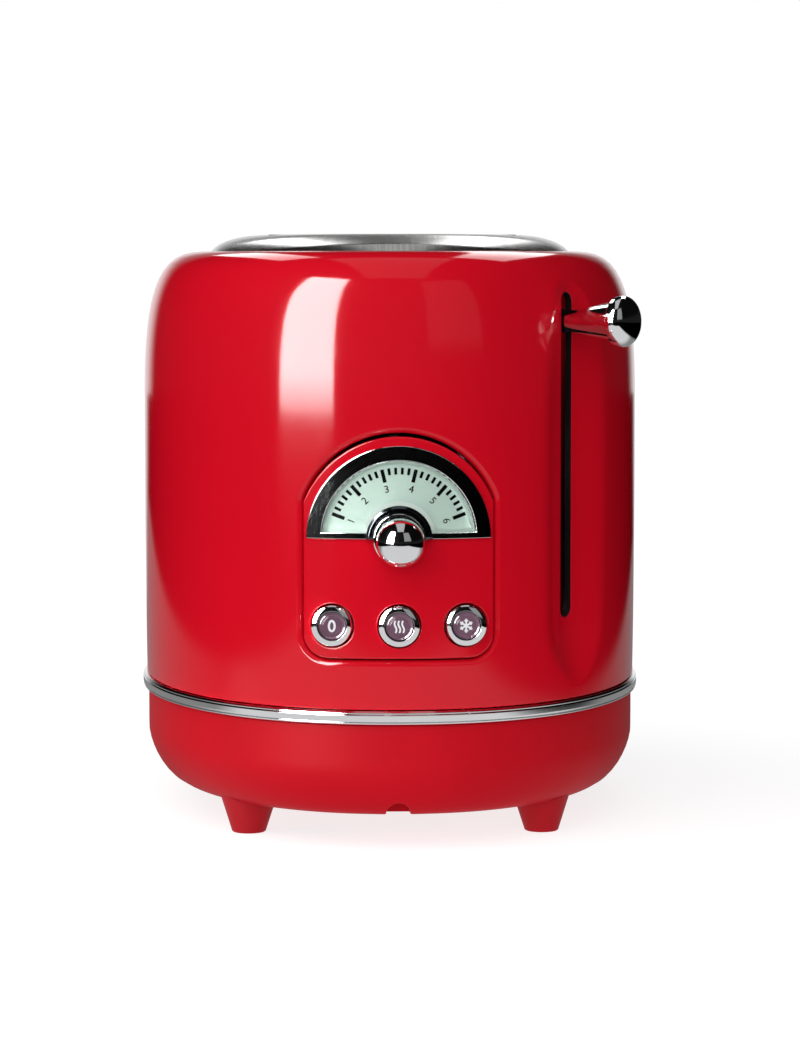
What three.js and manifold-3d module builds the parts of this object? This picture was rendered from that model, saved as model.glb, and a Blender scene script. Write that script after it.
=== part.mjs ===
// Two-slice electric toaster with an oval painted casing, seen with its control end facing -Y.
// Millimetres, +Z up. The origin is the middle of the bounding box, at the level of the table.
import * as THREE from 'three';
import { mergeVertices } from 'three/addons/utils/BufferGeometryUtils.js';
import Module from 'manifold-3d';

const wasm = await Module();
wasm.setup();

// Clearances and cutting overrun
const seatGap = 0.3;
const runGap = 0.8;
const overrun = 12;

// Oval outline and the stack from the table up
const bodyWidth = 178.2;
const bodyLength = 270;
const outlinePower = 2.15;
const footHeight = 11.2;
const baseHeight = 31.1;
const bandHeight = 4.6;
const casingHeight = 151.5;
const collarHeight = 5.4;

// Painted casing
const casingWall = 1.2;
const bellyInset = 0.55;
const bellyRise = 74;
const shoulderWidth = 26;
const shoulderHeight = 66;
const shoulderPower = 3.55;
const mouthMargin = 8;
const mouthCorner = 18;

// Bowl-shaped base
const baseInset = 1.1;
const baseWall = 2.4;
const bowlWidth = 9.8;
const bowlHeight = 15.9;
const bowlPower = 1.55;
const bossRadius = 5.4;
const bossPilotRadius = 1.5;
const cordNotchRadius = 4.6;
const cordNotchDepth = 8;
const ventWidth = 3;
const ventLength = 22;
const ventPitch = 8;
const ventCount = 5;

// Chrome band
const bandProud = 0.9;
const bandWall = 4.4;
const bandLip = 0.8;

// Brushed collar with the two bread slots
const collarInset = 23.4;
const collarEdgeWidth = 19;
const collarWall = 1.2;
const collarEdgePower = 2;
const breadSlotWidth = 33;
const breadSlotLength = 132;
const breadSlotBridge = 18;
const breadSlotCorner = 5;
const breadSlotSetBack = 8;
const slotLipWall = 1;
const slotLipDepth = 7;

// Feet and their screws
const footTopRadius = 8.8;
const footTipRadius = 5.9;
const footTipRound = 0.9;
const footInsetX = 38.7;
const footInsetY = 48;
const screwRecessRadius = 3.7;
const screwRecessDepth = 5;
const screwHeadRadius = 3.2;
const screwHeadHeight = 1.8;
const screwShankRadius = 1.2;
const screwLength = 15;

// Arched control panel in the front of the casing
const panelWidth = 63.4;
const panelHeight = 74.2;
const panelRise = 17;
const panelArchRadius = 34;
const panelCorner = 8;
const panelGap = 0.5;
const panelWall = 2;
const panelPostRadius = 2.2;
const panelPostSpread = 26;
const panelPostRise = 6;

// Half-round dial
const dialRise = 39.8;
const bezelRadius = 30.4;
const bezelWindowRadius = 25.4;
const bezelSill = 2;
const bezelProud = 1.3;
const bezelLip = 1.6;
const dialOpeningRadius = 28;
const dialPlateWall = 1;
const dialPlateRadius = 29.6;
const lensInnerRadius = 12.4;
const lensWall = 1;
const lensSink = 1;
const hubRadius = 11;
const hubBore = 4.4;
const hubProud = 1.6;

// Browning knob and its potentiometer
const ballRadius = 8;
const ballProud = 16;
const knobFlangeRadius = 8.6;
const knobFlangeWall = 1.4;
const knobNeckRadius = 4.6;
const knobShaftRadius = 3;
const potRadius = 8;
const potLength = 9;

// Push buttons
const buttonPitch = 22.2;
const buttonRise = 10.9;
const buttonRadius = 6.8;
const buttonProud = 1.6;
const buttonLensRadius = 4.6;
const buttonLensDepth = 2.4;
const buttonLensSink = 0.4;
const buttonRimSlope = 0.7;
const buttonFlangeRadius = 8.1;
const buttonFlangeWall = 1;
const buttonFlangeDepth = 8.8;
const buttonStemRadius = 2;
const buttonTravel = 1.5;
const switchSide = 10;
const switchHeight = 5;

// Circuit board behind the panel
const boardWidth = 60;
const boardHeight = 62;
const boardWall = 1.6;
const boardSetBack = 20;

// Recess and slot of the carriage lever, on the front right corner
const leverAngle = THREE.MathUtils.degToRad(54.3);
const scoopHalfWidth = 23;
const scoopDepth = 5.7;
const scoopRise = 3.4;
const scoopToe = 24;
const leverSlotWidth = 5.6;
const leverSlotRise = 27.4;
const leverSlotDrop = 14.1;
const leverBladeWidth = 4;
const leverBladeHeight = 8;
const leverBladeReach = 20;
const leverHighLift = 4.8;
const leverLowMargin = 6.4;
const leverStemLength = 18.6;
const leverStemTipRadius = 3.5;
const leverStemRadius = 6.7;
const leverKnobRadius = 8.6;
const leverKnobRim = 2.5;
const leverKnobDome = 5;

// Chassis of pressed plates
const chassisWall = 1.2;
const chassisHalfWidth = 46.6;
const chassisDrop = 9;
const chassisEndGap = 4;
const chassisFloorRise = 15.3;
const chassisFloorInsetX = 35.1;
const chassisFloorInsetY = 39;
const chassisFloorCorner = 18;
const crumbWindowMargin = 8;
const bracketReach = 20;
const bracketDrop = 3;

// Carriage, racks, guide rod and return spring
const rackDrop = 48;
const rackHeight = 4;
const rackWidth = 3;
const rackRibCount = 7;
const rackRibWidth = 21;
const rackRibLength = 2.4;
const carriageWall = 1.2;
const carriageHalfWidth = 33;
const carriageStandOff = 2.6;
const carriageWindowWidth = 22;
const carriageWindowHeight = 20;
const rodRadius = 2.5;
const rodOffset = 24;
const rodStandOff = 11;
const bushHalfWidth = 6;
const bushHeight = 16;
const bushRise = 16;
const springOffset = -2;
const springCoilRadius = 3.4;
const springWireRadius = 0.45;
const springTurns = 16;
const hookHalfWidth = 5;
const magnetOffset = -20;
const magnetRadius = 8;
const magnetCoreRadius = 4;
const magnetCoreProud = 1.4;
const keeperRise = 22.5;
const keeperHalfWidth = 6;
const keeperWall = 2;

// Heater boards and bread guides
const heaterWall = 1;
const heaterRise = 13;
const heaterDrop = 6.5;
const heaterBridgeInset = 2.4;
const heaterOuterGap = 2.6;
const ribbonCount = 8;
const ribbonProud = 0.5;
const ribbonHeight = 1.8;
const guideWireRadius = 0.8;
const guideInset = 1.5;
const guideRise = 10;
const guideDrop = 3.5;
const guideWireCount = 6;
const guideTail = 2.6;

// Crumb tray
const trayHalfWidth = 41;
const trayFrontMargin = 4;
const trayWall = 1;
const trayRim = 6.5;
const trayPlugHeight = 11;
const trayLipReach = 5;
const trayLipWall = 1.6;

// Cord inlet bush in the floor of the base
const inletOffset = 28;
const inletInset = 49;
const inletBore = 4;
const inletRadius = 6.6;
const inletFlangeRadius = 9;
const inletFlangeWall = 1.6;
const inletLength = 9;

// Numbers of facets
const outlineSteps = 56;
const shoulderSteps = 6;
const bowlSteps = 4;
const scoopSteps = 10;
const scoopToeSteps = 4;
const roundSides = 20;
const turnedSides = 16;
const smallSides = 12;
const wireSides = 6;
const springSides = 5;
const springStepsPerTurn = 8;

// Levels that follow from the stack
const baseBottom = footHeight + seatGap;
const baseTop = baseBottom + baseHeight;
const bandBottom = baseTop + seatGap;
const bandTop = bandBottom + bandHeight;
const casingBottom = bandTop + seatGap;
const casingTop = casingBottom + casingHeight;
const collarBottom = casingTop + seatGap;
const collarTop = collarBottom + collarHeight;
const baseFloor = baseBottom + baseWall;
const chassisFloorLevel = baseFloor + chassisFloorRise;
const plateBottom = chassisFloorLevel + chassisWall + seatGap;
const plateTop = casingTop - chassisDrop;
const panelBottom = casingBottom + panelRise;
const dialCentre = panelBottom + dialRise;
const buttonCentre = panelBottom + buttonRise;
const scoopBottom = casingBottom + scoopRise;
const leverSlotBottom = casingBottom + leverSlotRise;
const leverSlotTop = casingTop - leverSlotDrop;
const leverRest = leverSlotTop - runGap - leverBladeHeight / 2 - leverHighLift;
const leverLow = leverSlotBottom + leverLowMargin + leverBladeHeight / 2;
const leverTravel = leverRest - leverLow;
const halfWidth = bodyWidth / 2;
const halfLength = bodyLength / 2;
const frontFace = -halfLength;
const footSpreadX = halfWidth - footInsetX;
const footSpreadY = halfLength - footInsetY;
const inletSetBack = halfLength - inletInset;
const slotFront = breadSlotSetBack - breadSlotLength / 2;
const slotRear = breadSlotSetBack + breadSlotLength / 2;
const slotMiddle = (breadSlotBridge + breadSlotWidth) / 2;
const slotOuter = breadSlotBridge / 2 + breadSlotWidth;
const slotInner = breadSlotBridge / 2;

// Colour, roughness and metalness of each finish
const finishes = {
  glossPaint: { color: 0xd00a28, roughness: 0.12, metalness: 0 },
  satinPlastic: { color: 0xc8142a, roughness: 0.42, metalness: 0 },
  brushedSteel: { color: 0xb9bab8, roughness: 0.34, metalness: 1 },
  chrome: { color: 0xe6e8e8, roughness: 0.05, metalness: 1 },
  darkChrome: { color: 0x20232a, roughness: 0.08, metalness: 1 },
  dialWhite: { color: 0xc8dccd, roughness: 0.5, metalness: 0 },
  clearPlastic: { color: 0xf2f6f4, roughness: 0.05, metalness: 0 },
  smokedLens: { color: 0x6d5060, roughness: 0.12, metalness: 0 },
  zincSteel: { color: 0xa8abae, roughness: 0.45, metalness: 1 },
  mica: { color: 0xb8ab8e, roughness: 0.7, metalness: 0 },
  boardGreen: { color: 0x2c5a3c, roughness: 0.6, metalness: 0 },
  blackPlastic: { color: 0x18181a, roughness: 0.5, metalness: 0 },
  copper: { color: 0xa8552c, roughness: 0.4, metalness: 1 },
};

// Solids from geometry and back
function solidOf(geometry) {
  const bare = geometry.index ? geometry.toNonIndexed() : geometry.clone();
  bare.deleteAttribute('normal');
  bare.deleteAttribute('uv');
  const merged = mergeVertices(bare);
  return new wasm.Manifold(new wasm.Mesh({
    numProp: 3,
    vertProperties: new Float32Array(merged.attributes.position.array),
    triVerts: new Uint32Array(merged.index.array),
  }));
}

function geometryOf(solid) {
  const mesh = solid.getMesh();
  const geometry = new THREE.BufferGeometry();
  geometry.setAttribute('position', new THREE.BufferAttribute(new Float32Array(mesh.vertProperties), 3));
  geometry.setIndex(new THREE.BufferAttribute(new Uint32Array(mesh.triVerts), 1));
  geometry.computeVertexNormals();
  return geometry;
}

function join(first, ...others) {
  return others.reduce((sum, other) => sum.add(other), first);
}

function cut(first, ...others) {
  return others.reduce((rest, other) => rest.subtract(other), first);
}

// Basic shapes, each given by where it begins and ends
function box([x0, x1], [y0, y1], [z0, z1]) {
  const geometry = new THREE.BoxGeometry(x1 - x0, y1 - y0, z1 - z0);
  return solidOf(geometry.translate((x0 + x1) / 2, (y0 + y1) / 2, (z0 + z1) / 2));
}

function rod(radius, from, to, sides = smallSides) {
  const axis = new THREE.Vector3().subVectors(to, from);
  const geometry = new THREE.CylinderGeometry(radius, radius, axis.length(), sides);
  const turn = new THREE.Quaternion().setFromUnitVectors(new THREE.Vector3(0, 1, 0), axis.normalize());
  const middle = new THREE.Vector3().addVectors(from, to).multiplyScalar(1 / 2);
  return solidOf(geometry.applyQuaternion(turn).translate(middle.x, middle.y, middle.z));
}

function upright(radius, x, y, [z0, z1], sides = smallSides) {
  return rod(radius, new THREE.Vector3(x, y, z0), new THREE.Vector3(x, y, z1), sides);
}

function fromFront(radius, x, z, [y0, y1], sides = roundSides) {
  return rod(radius, new THREE.Vector3(x, y0, z), new THREE.Vector3(x, y1, z), sides);
}

function planPrism(shape, [z0, z1], curveSegments = smallSides / 4) {
  const geometry = new THREE.ExtrudeGeometry(shape, { depth: z1 - z0, bevelEnabled: false, curveSegments });
  return solidOf(geometry.translate(0, 0, z0));
}

function frontPrism(shape, [y0, y1], curveSegments = turnedSides / 2) {
  const geometry = new THREE.ExtrudeGeometry(shape, { depth: y1 - y0, bevelEnabled: false, curveSegments });
  return solidOf(geometry.rotateX(Math.PI / 2).translate(0, y1, 0));
}

// A turned piece: the profile is radius and place along +Z
function turned(profile, sides = turnedSides) {
  const points = profile.map(([radius, place]) => new THREE.Vector2(radius, place));
  return solidOf(new THREE.LatheGeometry(points, sides).rotateX(Math.PI / 2));
}

function roundedRectangle([x0, x1], [y0, y1], corner) {
  const shape = new THREE.Shape();
  shape.moveTo(x0 + corner, y0);
  shape.lineTo(x1 - corner, y0);
  shape.absarc(x1 - corner, y0 + corner, corner, -Math.PI / 2, 0);
  shape.lineTo(x1, y1 - corner);
  shape.absarc(x1 - corner, y1 - corner, corner, 0, Math.PI / 2);
  shape.lineTo(x0 + corner, y1);
  shape.absarc(x0 + corner, y1 - corner, corner, Math.PI / 2, Math.PI);
  shape.lineTo(x0, y0 + corner);
  shape.absarc(x0 + corner, y0 + corner, corner, Math.PI, 3 * Math.PI / 2);
  return shape;
}

// A closed skin through rings of equally many points, listed from the bottom up
function loft(rings) {
  const count = rings[0].length;
  const middles = [rings[0], rings[rings.length - 1]].map((ring) => (
    ring.reduce((sum, point) => sum.add(point), new THREE.Vector3()).divideScalar(count)
  ));
  const positions = [...rings.flat(), ...middles].flatMap((point) => point.toArray());
  const bottomMiddle = rings.length * count;
  const topMiddle = bottomMiddle + 1;
  const lastRing = bottomMiddle - count;
  const indices = [];
  for (let i = 0; i < count; i += 1) {
    const next = (i + 1) % count;
    for (let ring = 0; ring < lastRing; ring += count) {
      indices.push(ring + i, ring + next, ring + next + count);
      indices.push(ring + i, ring + next + count, ring + i + count);
    }
    indices.push(bottomMiddle, next, i);
    indices.push(topMiddle, lastRing + i, lastRing + next);
  }
  const geometry = new THREE.BufferGeometry();
  geometry.setAttribute('position', new THREE.Float32BufferAttribute(positions, 3));
  geometry.setIndex(indices);
  return geometry;
}

// The oval outline: a point at a turn about +Z, moved in by an inset
function outlinePoint(turn, inset = 0, z = 0) {
  const across = Math.cos(turn);
  const along = Math.sin(turn);
  const x = (halfWidth - inset) * Math.sign(across) * Math.abs(across) ** (2 / outlinePower);
  const y = (halfLength - inset) * Math.sign(along) * Math.abs(along) ** (2 / outlinePower);
  return new THREE.Vector3(x, y, z);
}

function ovalRing(inset, z) {
  return Array.from({ length: outlineSteps }, (_, i) => (
    outlinePoint(2 * Math.PI * i / outlineSteps, inset, z)
  ));
}

function ovalSolid(levels) {
  return solidOf(loft(levels.map(([inset, z]) => ovalRing(inset, z))));
}

// A rounded edge between a wall and a top: inset and rise of each step
function roundedEdge(width, height, power, steps) {
  return Array.from({ length: steps + 1 }, (_, i) => {
    const turn = (Math.PI / 2) * i / steps;
    return [
      width * (1 - Math.abs(Math.cos(turn)) ** (2 / power)),
      height * Math.abs(Math.sin(turn)) ** (2 / power),
    ];
  });
}

// How far the front of the casing falls back at a distance from its middle
function frontSag(x) {
  return halfLength * (1 - (1 - Math.abs(x / halfWidth) ** outlinePower) ** (1 / outlinePower));
}

// A slice of the curved front between two depths below the casing's face, cut out by a prism
function frontSlice(outerDepth, innerDepth, prism) {
  const levels = (inset) => [[inset, -overrun], [inset, collarTop + overrun]];
  return prism.intersect(cut(ovalSolid(levels(outerDepth)), ovalSolid(levels(innerDepth))));
}

// Frame of the lever: +X points out of the casing and +Y runs along its wall
const leverTurn = leverAngle - Math.PI / 2;
const normalPower = 2 - 2 / outlinePower;
const leverOutlineTurn = -Math.atan((Math.tan(leverAngle) * halfWidth / halfLength) ** (-1 / normalPower));
const leverSurface = outlinePoint(leverOutlineTurn);
const leverOut = new THREE.Vector3(Math.sin(leverAngle), -Math.cos(leverAngle), 0);
const leverAlong = new THREE.Vector3(Math.cos(leverAngle), Math.sin(leverAngle), 0);

function leverFrame(geometry) {
  return geometry.rotateZ(leverTurn).translate(leverSurface.x, leverSurface.y, 0);
}

function leverPoint(out, z = 0) {
  return new THREE.Vector3(leverSurface.x, leverSurface.y, z).addScaledVector(leverOut, out);
}

// The casing's wall in the lever's frame, at a distance along it, found by halving
function wallDrop(along) {
  let low = leverOutlineTurn - Math.PI / 6;
  let high = leverOutlineTurn + Math.PI / 6;
  for (let i = 0; i < 40; i += 1) {
    const middle = (low + high) / 2;
    const offset = outlinePoint(middle).sub(leverSurface);
    if (offset.dot(leverAlong) < along) low = middle;
    else high = middle;
  }
  return outlinePoint(low).sub(leverSurface).dot(leverOut);
}

// The scooped recess: a soft trough that runs out through the shoulder and ends in a round toe
function scoopCutter(wall) {
  const ring = (widthShare, depthShare, z) => {
    const reach = (scoopHalfWidth + wall) * widthShare;
    const trough = Array.from({ length: scoopSteps + 1 }, (_, i) => {
      const share = 2 * i / scoopSteps - 1;
      const depth = scoopDepth * depthShare * (1 + Math.cos(Math.PI * share)) / 2;
      return new THREE.Vector3(wallDrop(reach * share) - depth - wall, reach * share, z);
    });
    return [new THREE.Vector3(overrun, -reach, z), new THREE.Vector3(overrun, reach, z), ...trough.reverse()];
  };
  const toe = Array.from({ length: scoopToeSteps }, (_, i) => {
    const turn = (Math.PI / 2) * (i + 1) / (scoopToeSteps + 1);
    const z = scoopBottom - wall + scoopToe * (1 - Math.cos(turn));
    return ring(Math.sin(turn), Math.sin(turn) ** 2, z);
  });
  const full = [scoopBottom - wall + scoopToe, casingTop + overrun].map((z) => ring(1, 1, z));
  return solidOf(leverFrame(loft([...toe, ...full])));
}

// Casing
function casingLevels(wall, bottom) {
  const shoulderStart = casingTop - shoulderHeight;
  const shoulder = roundedEdge(shoulderWidth - wall, shoulderHeight - wall, shoulderPower, shoulderSteps);
  return [
    [wall + bellyInset, bottom],
    [wall + bellyInset, casingBottom],
    [wall, casingBottom + bellyRise],
    ...shoulder.map(([inset, rise]) => [wall + inset, shoulderStart + rise]),
  ].filter(([, z], i, levels) => i === 0 || z > levels[i - 1][1]);
}

function makeCasing() {
  const outer = cut(ovalSolid(casingLevels(0, casingBottom)), scoopCutter(0));
  const inner = cut(ovalSolid(casingLevels(casingWall, casingBottom - overrun)), scoopCutter(casingWall));
  const mouth = planPrism(roundedRectangle(
    [-slotOuter - mouthMargin, slotOuter + mouthMargin],
    [slotFront - mouthMargin, slotRear + mouthMargin],
    mouthCorner,
  ), [casingTop - overrun, casingTop + overrun]);
  const leverSlot = roundedRectangle(
    [-leverSlotWidth / 2, leverSlotWidth / 2],
    [leverSlotBottom, leverSlotTop],
    leverSlotWidth / 2,
  );
  const slotTool = new THREE.ExtrudeGeometry(leverSlot, {
    depth: 2 * (scoopDepth + overrun),
    bevelEnabled: false,
    curveSegments: smallSides / 4,
  }).rotateX(Math.PI / 2).rotateZ(Math.PI / 2).translate(-scoopDepth - overrun, 0, 0);
  const panelHole = frontPrism(panelShape(panelGap), [frontFace - overrun, frontFace + 2 * overrun]);
  return cut(outer, inner, mouth, solidOf(leverFrame(slotTool)), panelHole);
}

// Control panel: straight sides, rounded lower corners and a low arch at the top
function panelShape(margin) {
  const side = panelWidth / 2 + margin;
  const bottom = panelBottom - margin;
  const corner = panelCorner + margin;
  const arch = panelArchRadius + margin;
  const archCentre = panelBottom + panelHeight - panelArchRadius;
  const archRise = Math.acos(side / arch);
  const shape = new THREE.Shape();
  shape.moveTo(-side + corner, bottom);
  shape.lineTo(side - corner, bottom);
  shape.absarc(side - corner, bottom + corner, corner, -Math.PI / 2, 0);
  shape.lineTo(side, archCentre + arch * Math.sin(archRise));
  shape.absarc(0, archCentre, arch, archRise, Math.PI - archRise);
  shape.lineTo(-side, bottom + corner);
  shape.absarc(-side + corner, bottom + corner, corner, Math.PI, 3 * Math.PI / 2);
  return shape;
}

// A half disc above the dial's sill
function halfDisc(radius, sill) {
  const turn = Math.asin(sill / radius);
  const shape = new THREE.Shape();
  shape.moveTo(radius * Math.cos(turn), dialCentre + sill);
  shape.absarc(0, dialCentre, radius, turn, Math.PI - turn);
  return shape;
}

const dialDepth = panelWall + seatGap;
const lensRadius = bezelWindowRadius - seatGap;
const frontSpan = [frontFace - overrun, frontFace + 2 * overrun];
const boardFront = frontFace + boardSetBack;
const buttonPlaces = [-buttonPitch, 0, buttonPitch];

function makeControlPanel() {
  const plate = frontSlice(0, panelWall, frontPrism(panelShape(0), frontSpan));
  const dialHole = frontPrism(halfDisc(dialOpeningRadius, 0), frontSpan);
  const shaftHole = fromFront(hubBore, 0, dialCentre, frontSpan);
  const buttonHoles = buttonPlaces.map((x) => fromFront(buttonRadius + seatGap, x, buttonCentre, frontSpan));
  const posts = [-panelPostSpread, panelPostSpread].map((x) => {
    const back = frontFace + panelWall + frontSag(panelPostSpread + panelPostRadius);
    const start = back - panelWall;
    const z = panelBottom + panelPostRise + switchSide + buttonRadius;
    return fromFront(panelPostRadius, x, z, [start, boardFront - seatGap], smallSides);
  });
  return join(cut(plate, dialHole, shaftHole, ...buttonHoles), ...posts);
}

function makeBezel() {
  const ring = frontPrism(halfDisc(bezelRadius, 0), frontSpan);
  const window = frontPrism(halfDisc(bezelWindowRadius, bezelSill), frontSpan);
  const hubClear = fromFront(hubRadius + seatGap, 0, dialCentre, frontSpan);
  const plate = frontSlice(-bezelProud, -seatGap, cut(ring, window, hubClear));
  const lipRing = frontPrism(halfDisc(dialOpeningRadius - seatGap, 0), frontSpan);
  const lip = frontSlice(-bezelProud, bezelLip, cut(lipRing, window, hubClear));
  return join(plate, lip);
}

function makeDialPlate() {
  const disc = cut(
    frontPrism(halfDisc(dialPlateRadius, 0), frontSpan),
    fromFront(hubBore, 0, dialCentre, frontSpan),
  );
  return frontSlice(dialDepth, dialDepth + dialPlateWall, disc);
}

function makeDialLens() {
  const ring = cut(
    frontPrism(halfDisc(lensRadius, bezelSill + seatGap), frontSpan),
    fromFront(lensInnerRadius, 0, dialCentre, frontSpan),
  );
  return frontSlice(lensSink, lensSink + lensWall, ring);
}

function makeKnobHub() {
  const hubFront = frontFace - hubProud;
  const half = frontPrism(halfDisc(hubRadius, 0), [hubFront, frontFace + dialDepth - seatGap]);
  return cut(half, fromFront(knobNeckRadius + seatGap, 0, dialCentre, frontSpan));
}

// Knob: profile radii and places forward of the casing's face
function makeBrowningKnob() {
  const flangeBack = hubProud + seatGap;
  const flangeFront = flangeBack + knobFlangeWall;
  const ballStart = Math.asin(knobNeckRadius / ballRadius);
  const ballSteps = smallSides / 2;
  const ball = Array.from({ length: ballSteps }, (_, i) => {
    const turn = ballStart + (Math.PI - ballStart) * i / ballSteps;
    return [ballRadius * Math.sin(turn), ballProud - ballRadius * Math.cos(turn)];
  });
  const back = -boardSetBack + potLength + seatGap;
  return turned([
    [0, back],
    [knobShaftRadius, back],
    [knobShaftRadius, flangeBack],
    [knobFlangeRadius, flangeBack],
    [knobFlangeRadius, flangeFront],
    [knobNeckRadius, flangeFront],
    ...ball,
    [0, ballProud + ballRadius],
  ]);
}

function makePotentiometer() {
  const back = boardFront - seatGap;
  return fromFront(potRadius, 0, dialCentre, [back - potLength + seatGap, back], smallSides);
}

// Buttons, along +Z from the casing's face, which is turned to -Y when placed
const switchFront = boardFront - seatGap - switchHeight;
const buttonStemEnd = switchFront - buttonTravel - seatGap;

function makeButtonCap(face) {
  const rim = buttonRadius - buttonRimSlope;
  const lensSeat = buttonLensRadius + seatGap;
  const flangeFront = buttonProud - buttonFlangeDepth;
  const flangeBack = flangeFront - buttonFlangeWall;
  return turned([
    [0, face - buttonStemEnd],
    [buttonStemRadius, face - buttonStemEnd],
    [buttonStemRadius, flangeBack],
    [buttonFlangeRadius, flangeBack],
    [buttonFlangeRadius, flangeFront],
    [buttonRadius, flangeFront],
    [buttonRadius, buttonProud - buttonRimSlope],
    [rim, buttonProud],
    [lensSeat, buttonProud - buttonRimSlope],
    [lensSeat, buttonProud - buttonRimSlope - buttonLensDepth],
    [0, buttonProud - buttonRimSlope - buttonLensDepth],
  ]);
}

function makeButtonLens() {
  const front = buttonProud - buttonLensSink;
  const seat = buttonProud - buttonRimSlope - buttonLensDepth + seatGap;
  const edge = buttonProud - buttonRimSlope - buttonLensSink;
  return turned([
    [0, seat],
    [buttonLensRadius, seat],
    [buttonLensRadius, edge],
    [buttonLensRadius / 2, front],
    [0, front],
  ]);
}

function makeSwitch(x) {
  const half = switchSide / 2;
  return box([x - half, x + half], [switchFront, switchFront + switchHeight],
    [buttonCentre - half, buttonCentre + half]);
}

function makeCircuitBoard() {
  const bottom = panelBottom + seatGap;
  return box([-boardWidth / 2, boardWidth / 2], [boardFront, boardFront + boardWall],
    [bottom, bottom + boardHeight]);
}

// Collar: a domed pressing with a turned-down lip round each slot
function makeCollar() {
  const dome = (wall, bottom) => {
    const edge = roundedEdge(collarEdgeWidth - wall, collarHeight - wall, collarEdgePower, bowlSteps);
    return ovalSolid([
      [collarInset + wall, bottom],
      ...edge.map(([inset, rise]) => [collarInset + wall + inset, collarBottom + rise]),
    ].filter(([, z], i, levels) => i === 0 || z > levels[i - 1][1]));
  };
  const shell = cut(dome(0, collarBottom), dome(collarWall, collarBottom - overrun));
  const slotPrism = (side, margin, levels) => {
    const sides = [slotInner - margin, slotOuter + margin].map((x) => side * x).sort((a, b) => a - b);
    const ends = [slotFront - margin, slotRear + margin];
    return planPrism(roundedRectangle(sides, ends, breadSlotCorner + margin), levels);
  };
  const lipSpan = [collarTop - collarWall - slotLipDepth, collarTop - collarWall / 2];
  const holeSpan = [collarBottom - overrun, collarTop + overrun];
  const lips = [-1, 1].map((side) => slotPrism(side, slotLipWall, lipSpan));
  const holes = [-1, 1].map((side) => slotPrism(side, 0, holeSpan));
  return cut(join(shell, ...lips), ...holes);
}

// Band: a rolled ring between base and casing
function makeBand() {
  const outer = ovalSolid([
    [bellyInset, bandBottom],
    [-bandProud, bandBottom + bandLip],
    [-bandProud, bandTop - bandLip],
    [bellyInset, bandTop],
  ]);
  const bore = ovalSolid([
    [bandWall, bandBottom - overrun],
    [bandWall, bandTop + overrun],
  ]);
  return cut(outer, bore);
}

// Base: a bowl with a boss over each foot
function bowlLevels(wall, top) {
  const bowl = roundedEdge(bowlWidth - wall, bowlHeight - wall / 2, bowlPower, bowlSteps);
  const start = baseBottom + bowlHeight;
  const rounded = bowl.map(([inset, rise]) => [baseInset + wall + inset, start - rise + wall / 2]).reverse();
  return [...rounded, [baseInset + wall, top]];
}

const footPlaces = [-1, 1].flatMap((sideX) => [-1, 1].map((sideY) => ({
  name: `${sideY < 0 ? 'front' : 'rear'}_${sideX < 0 ? 'left' : 'right'}`,
  x: sideX * footSpreadX,
  y: sideY * footSpreadY,
})));
const trayBottom = baseFloor + seatGap;
const trayPlugTop = trayBottom + trayPlugHeight;

function trayWindow(gap) {
  return box(
    [-trayHalfWidth - gap, trayHalfWidth + gap],
    [0, halfLength + overrun],
    [trayBottom - gap, trayPlugTop + gap],
  );
}

function bowlSolid(wall, top) {
  return ovalSolid(bowlLevels(wall, top));
}

function bowlShell() {
  return cut(bowlSolid(0, baseTop), bowlSolid(baseWall, baseTop + overrun));
}

function makeBase() {
  const bosses = footPlaces.map(({ x, y }) => (
    upright(bossRadius, x, y, [baseFloor - baseWall / 2, chassisFloorLevel - seatGap])
  ));
  const pilots = footPlaces.map(({ x, y }) => (
    upright(bossPilotRadius, x, y, [baseBottom - overrun, baseBottom + screwLength])
  ));
  const notchEnd = frontFace + baseInset + bowlWidth + cordNotchDepth;
  const notchRod = (radius, end) => rod(
    radius,
    new THREE.Vector3(0, frontFace, baseBottom - seatGap),
    new THREE.Vector3(0, end, baseBottom - seatGap),
  );
  const notch = notchRod(cordNotchRadius, notchEnd);
  const hood = notchRod(cordNotchRadius + baseWall, notchEnd + baseWall).intersect(bowlSolid(0, baseTop));
  const inlet = upright(inletRadius + seatGap, -inletOffset, -inletSetBack, [0, baseTop]);
  const vents = Array.from({ length: ventCount }, (_, i) => {
    const x = (i - (ventCount - 1) / 2) * ventPitch;
    return box([x - ventWidth / 2, x + ventWidth / 2], [-footSpreadY, -footSpreadY + ventLength],
      [0, baseFloor + seatGap]);
  });
  const windowCut = trayWindow(seatGap).intersect(
    box([-halfWidth, halfWidth], [footSpreadY + bossRadius, halfLength + overrun], [0, baseTop]),
  );
  return cut(join(bowlShell(), hood, ...bosses), ...pilots, notch, inlet, ...vents, windowCut);
}

// Crumb tray: a shallow pan with a plug that closes its window in the base and a finger lip
function makeCrumbTray() {
  const front = slotFront - trayFrontMargin;
  const plug = bowlShell().intersect(trayWindow(0)).intersect(
    box([-halfWidth, halfWidth], [footSpreadY + bossRadius, halfLength], [0, baseTop]),
  );
  const pan = cut(
    box([-trayHalfWidth, trayHalfWidth], [front, halfLength], [trayBottom, trayBottom + trayRim]),
    box([-trayHalfWidth + trayWall, trayHalfWidth - trayWall], [front + trayWall, halfLength],
      [trayBottom + trayWall, trayBottom + trayRim + overrun]),
  ).intersect(bowlSolid(baseWall / 2, baseTop));
  const lipEnd = halfLength;
  const lip = box([-trayHalfWidth / 2, trayHalfWidth / 2], [lipEnd - trayLipReach - trayLipWall, lipEnd],
    [trayPlugTop - trayLipWall, trayPlugTop]);
  return join(pan, plug, lip);
}

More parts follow.
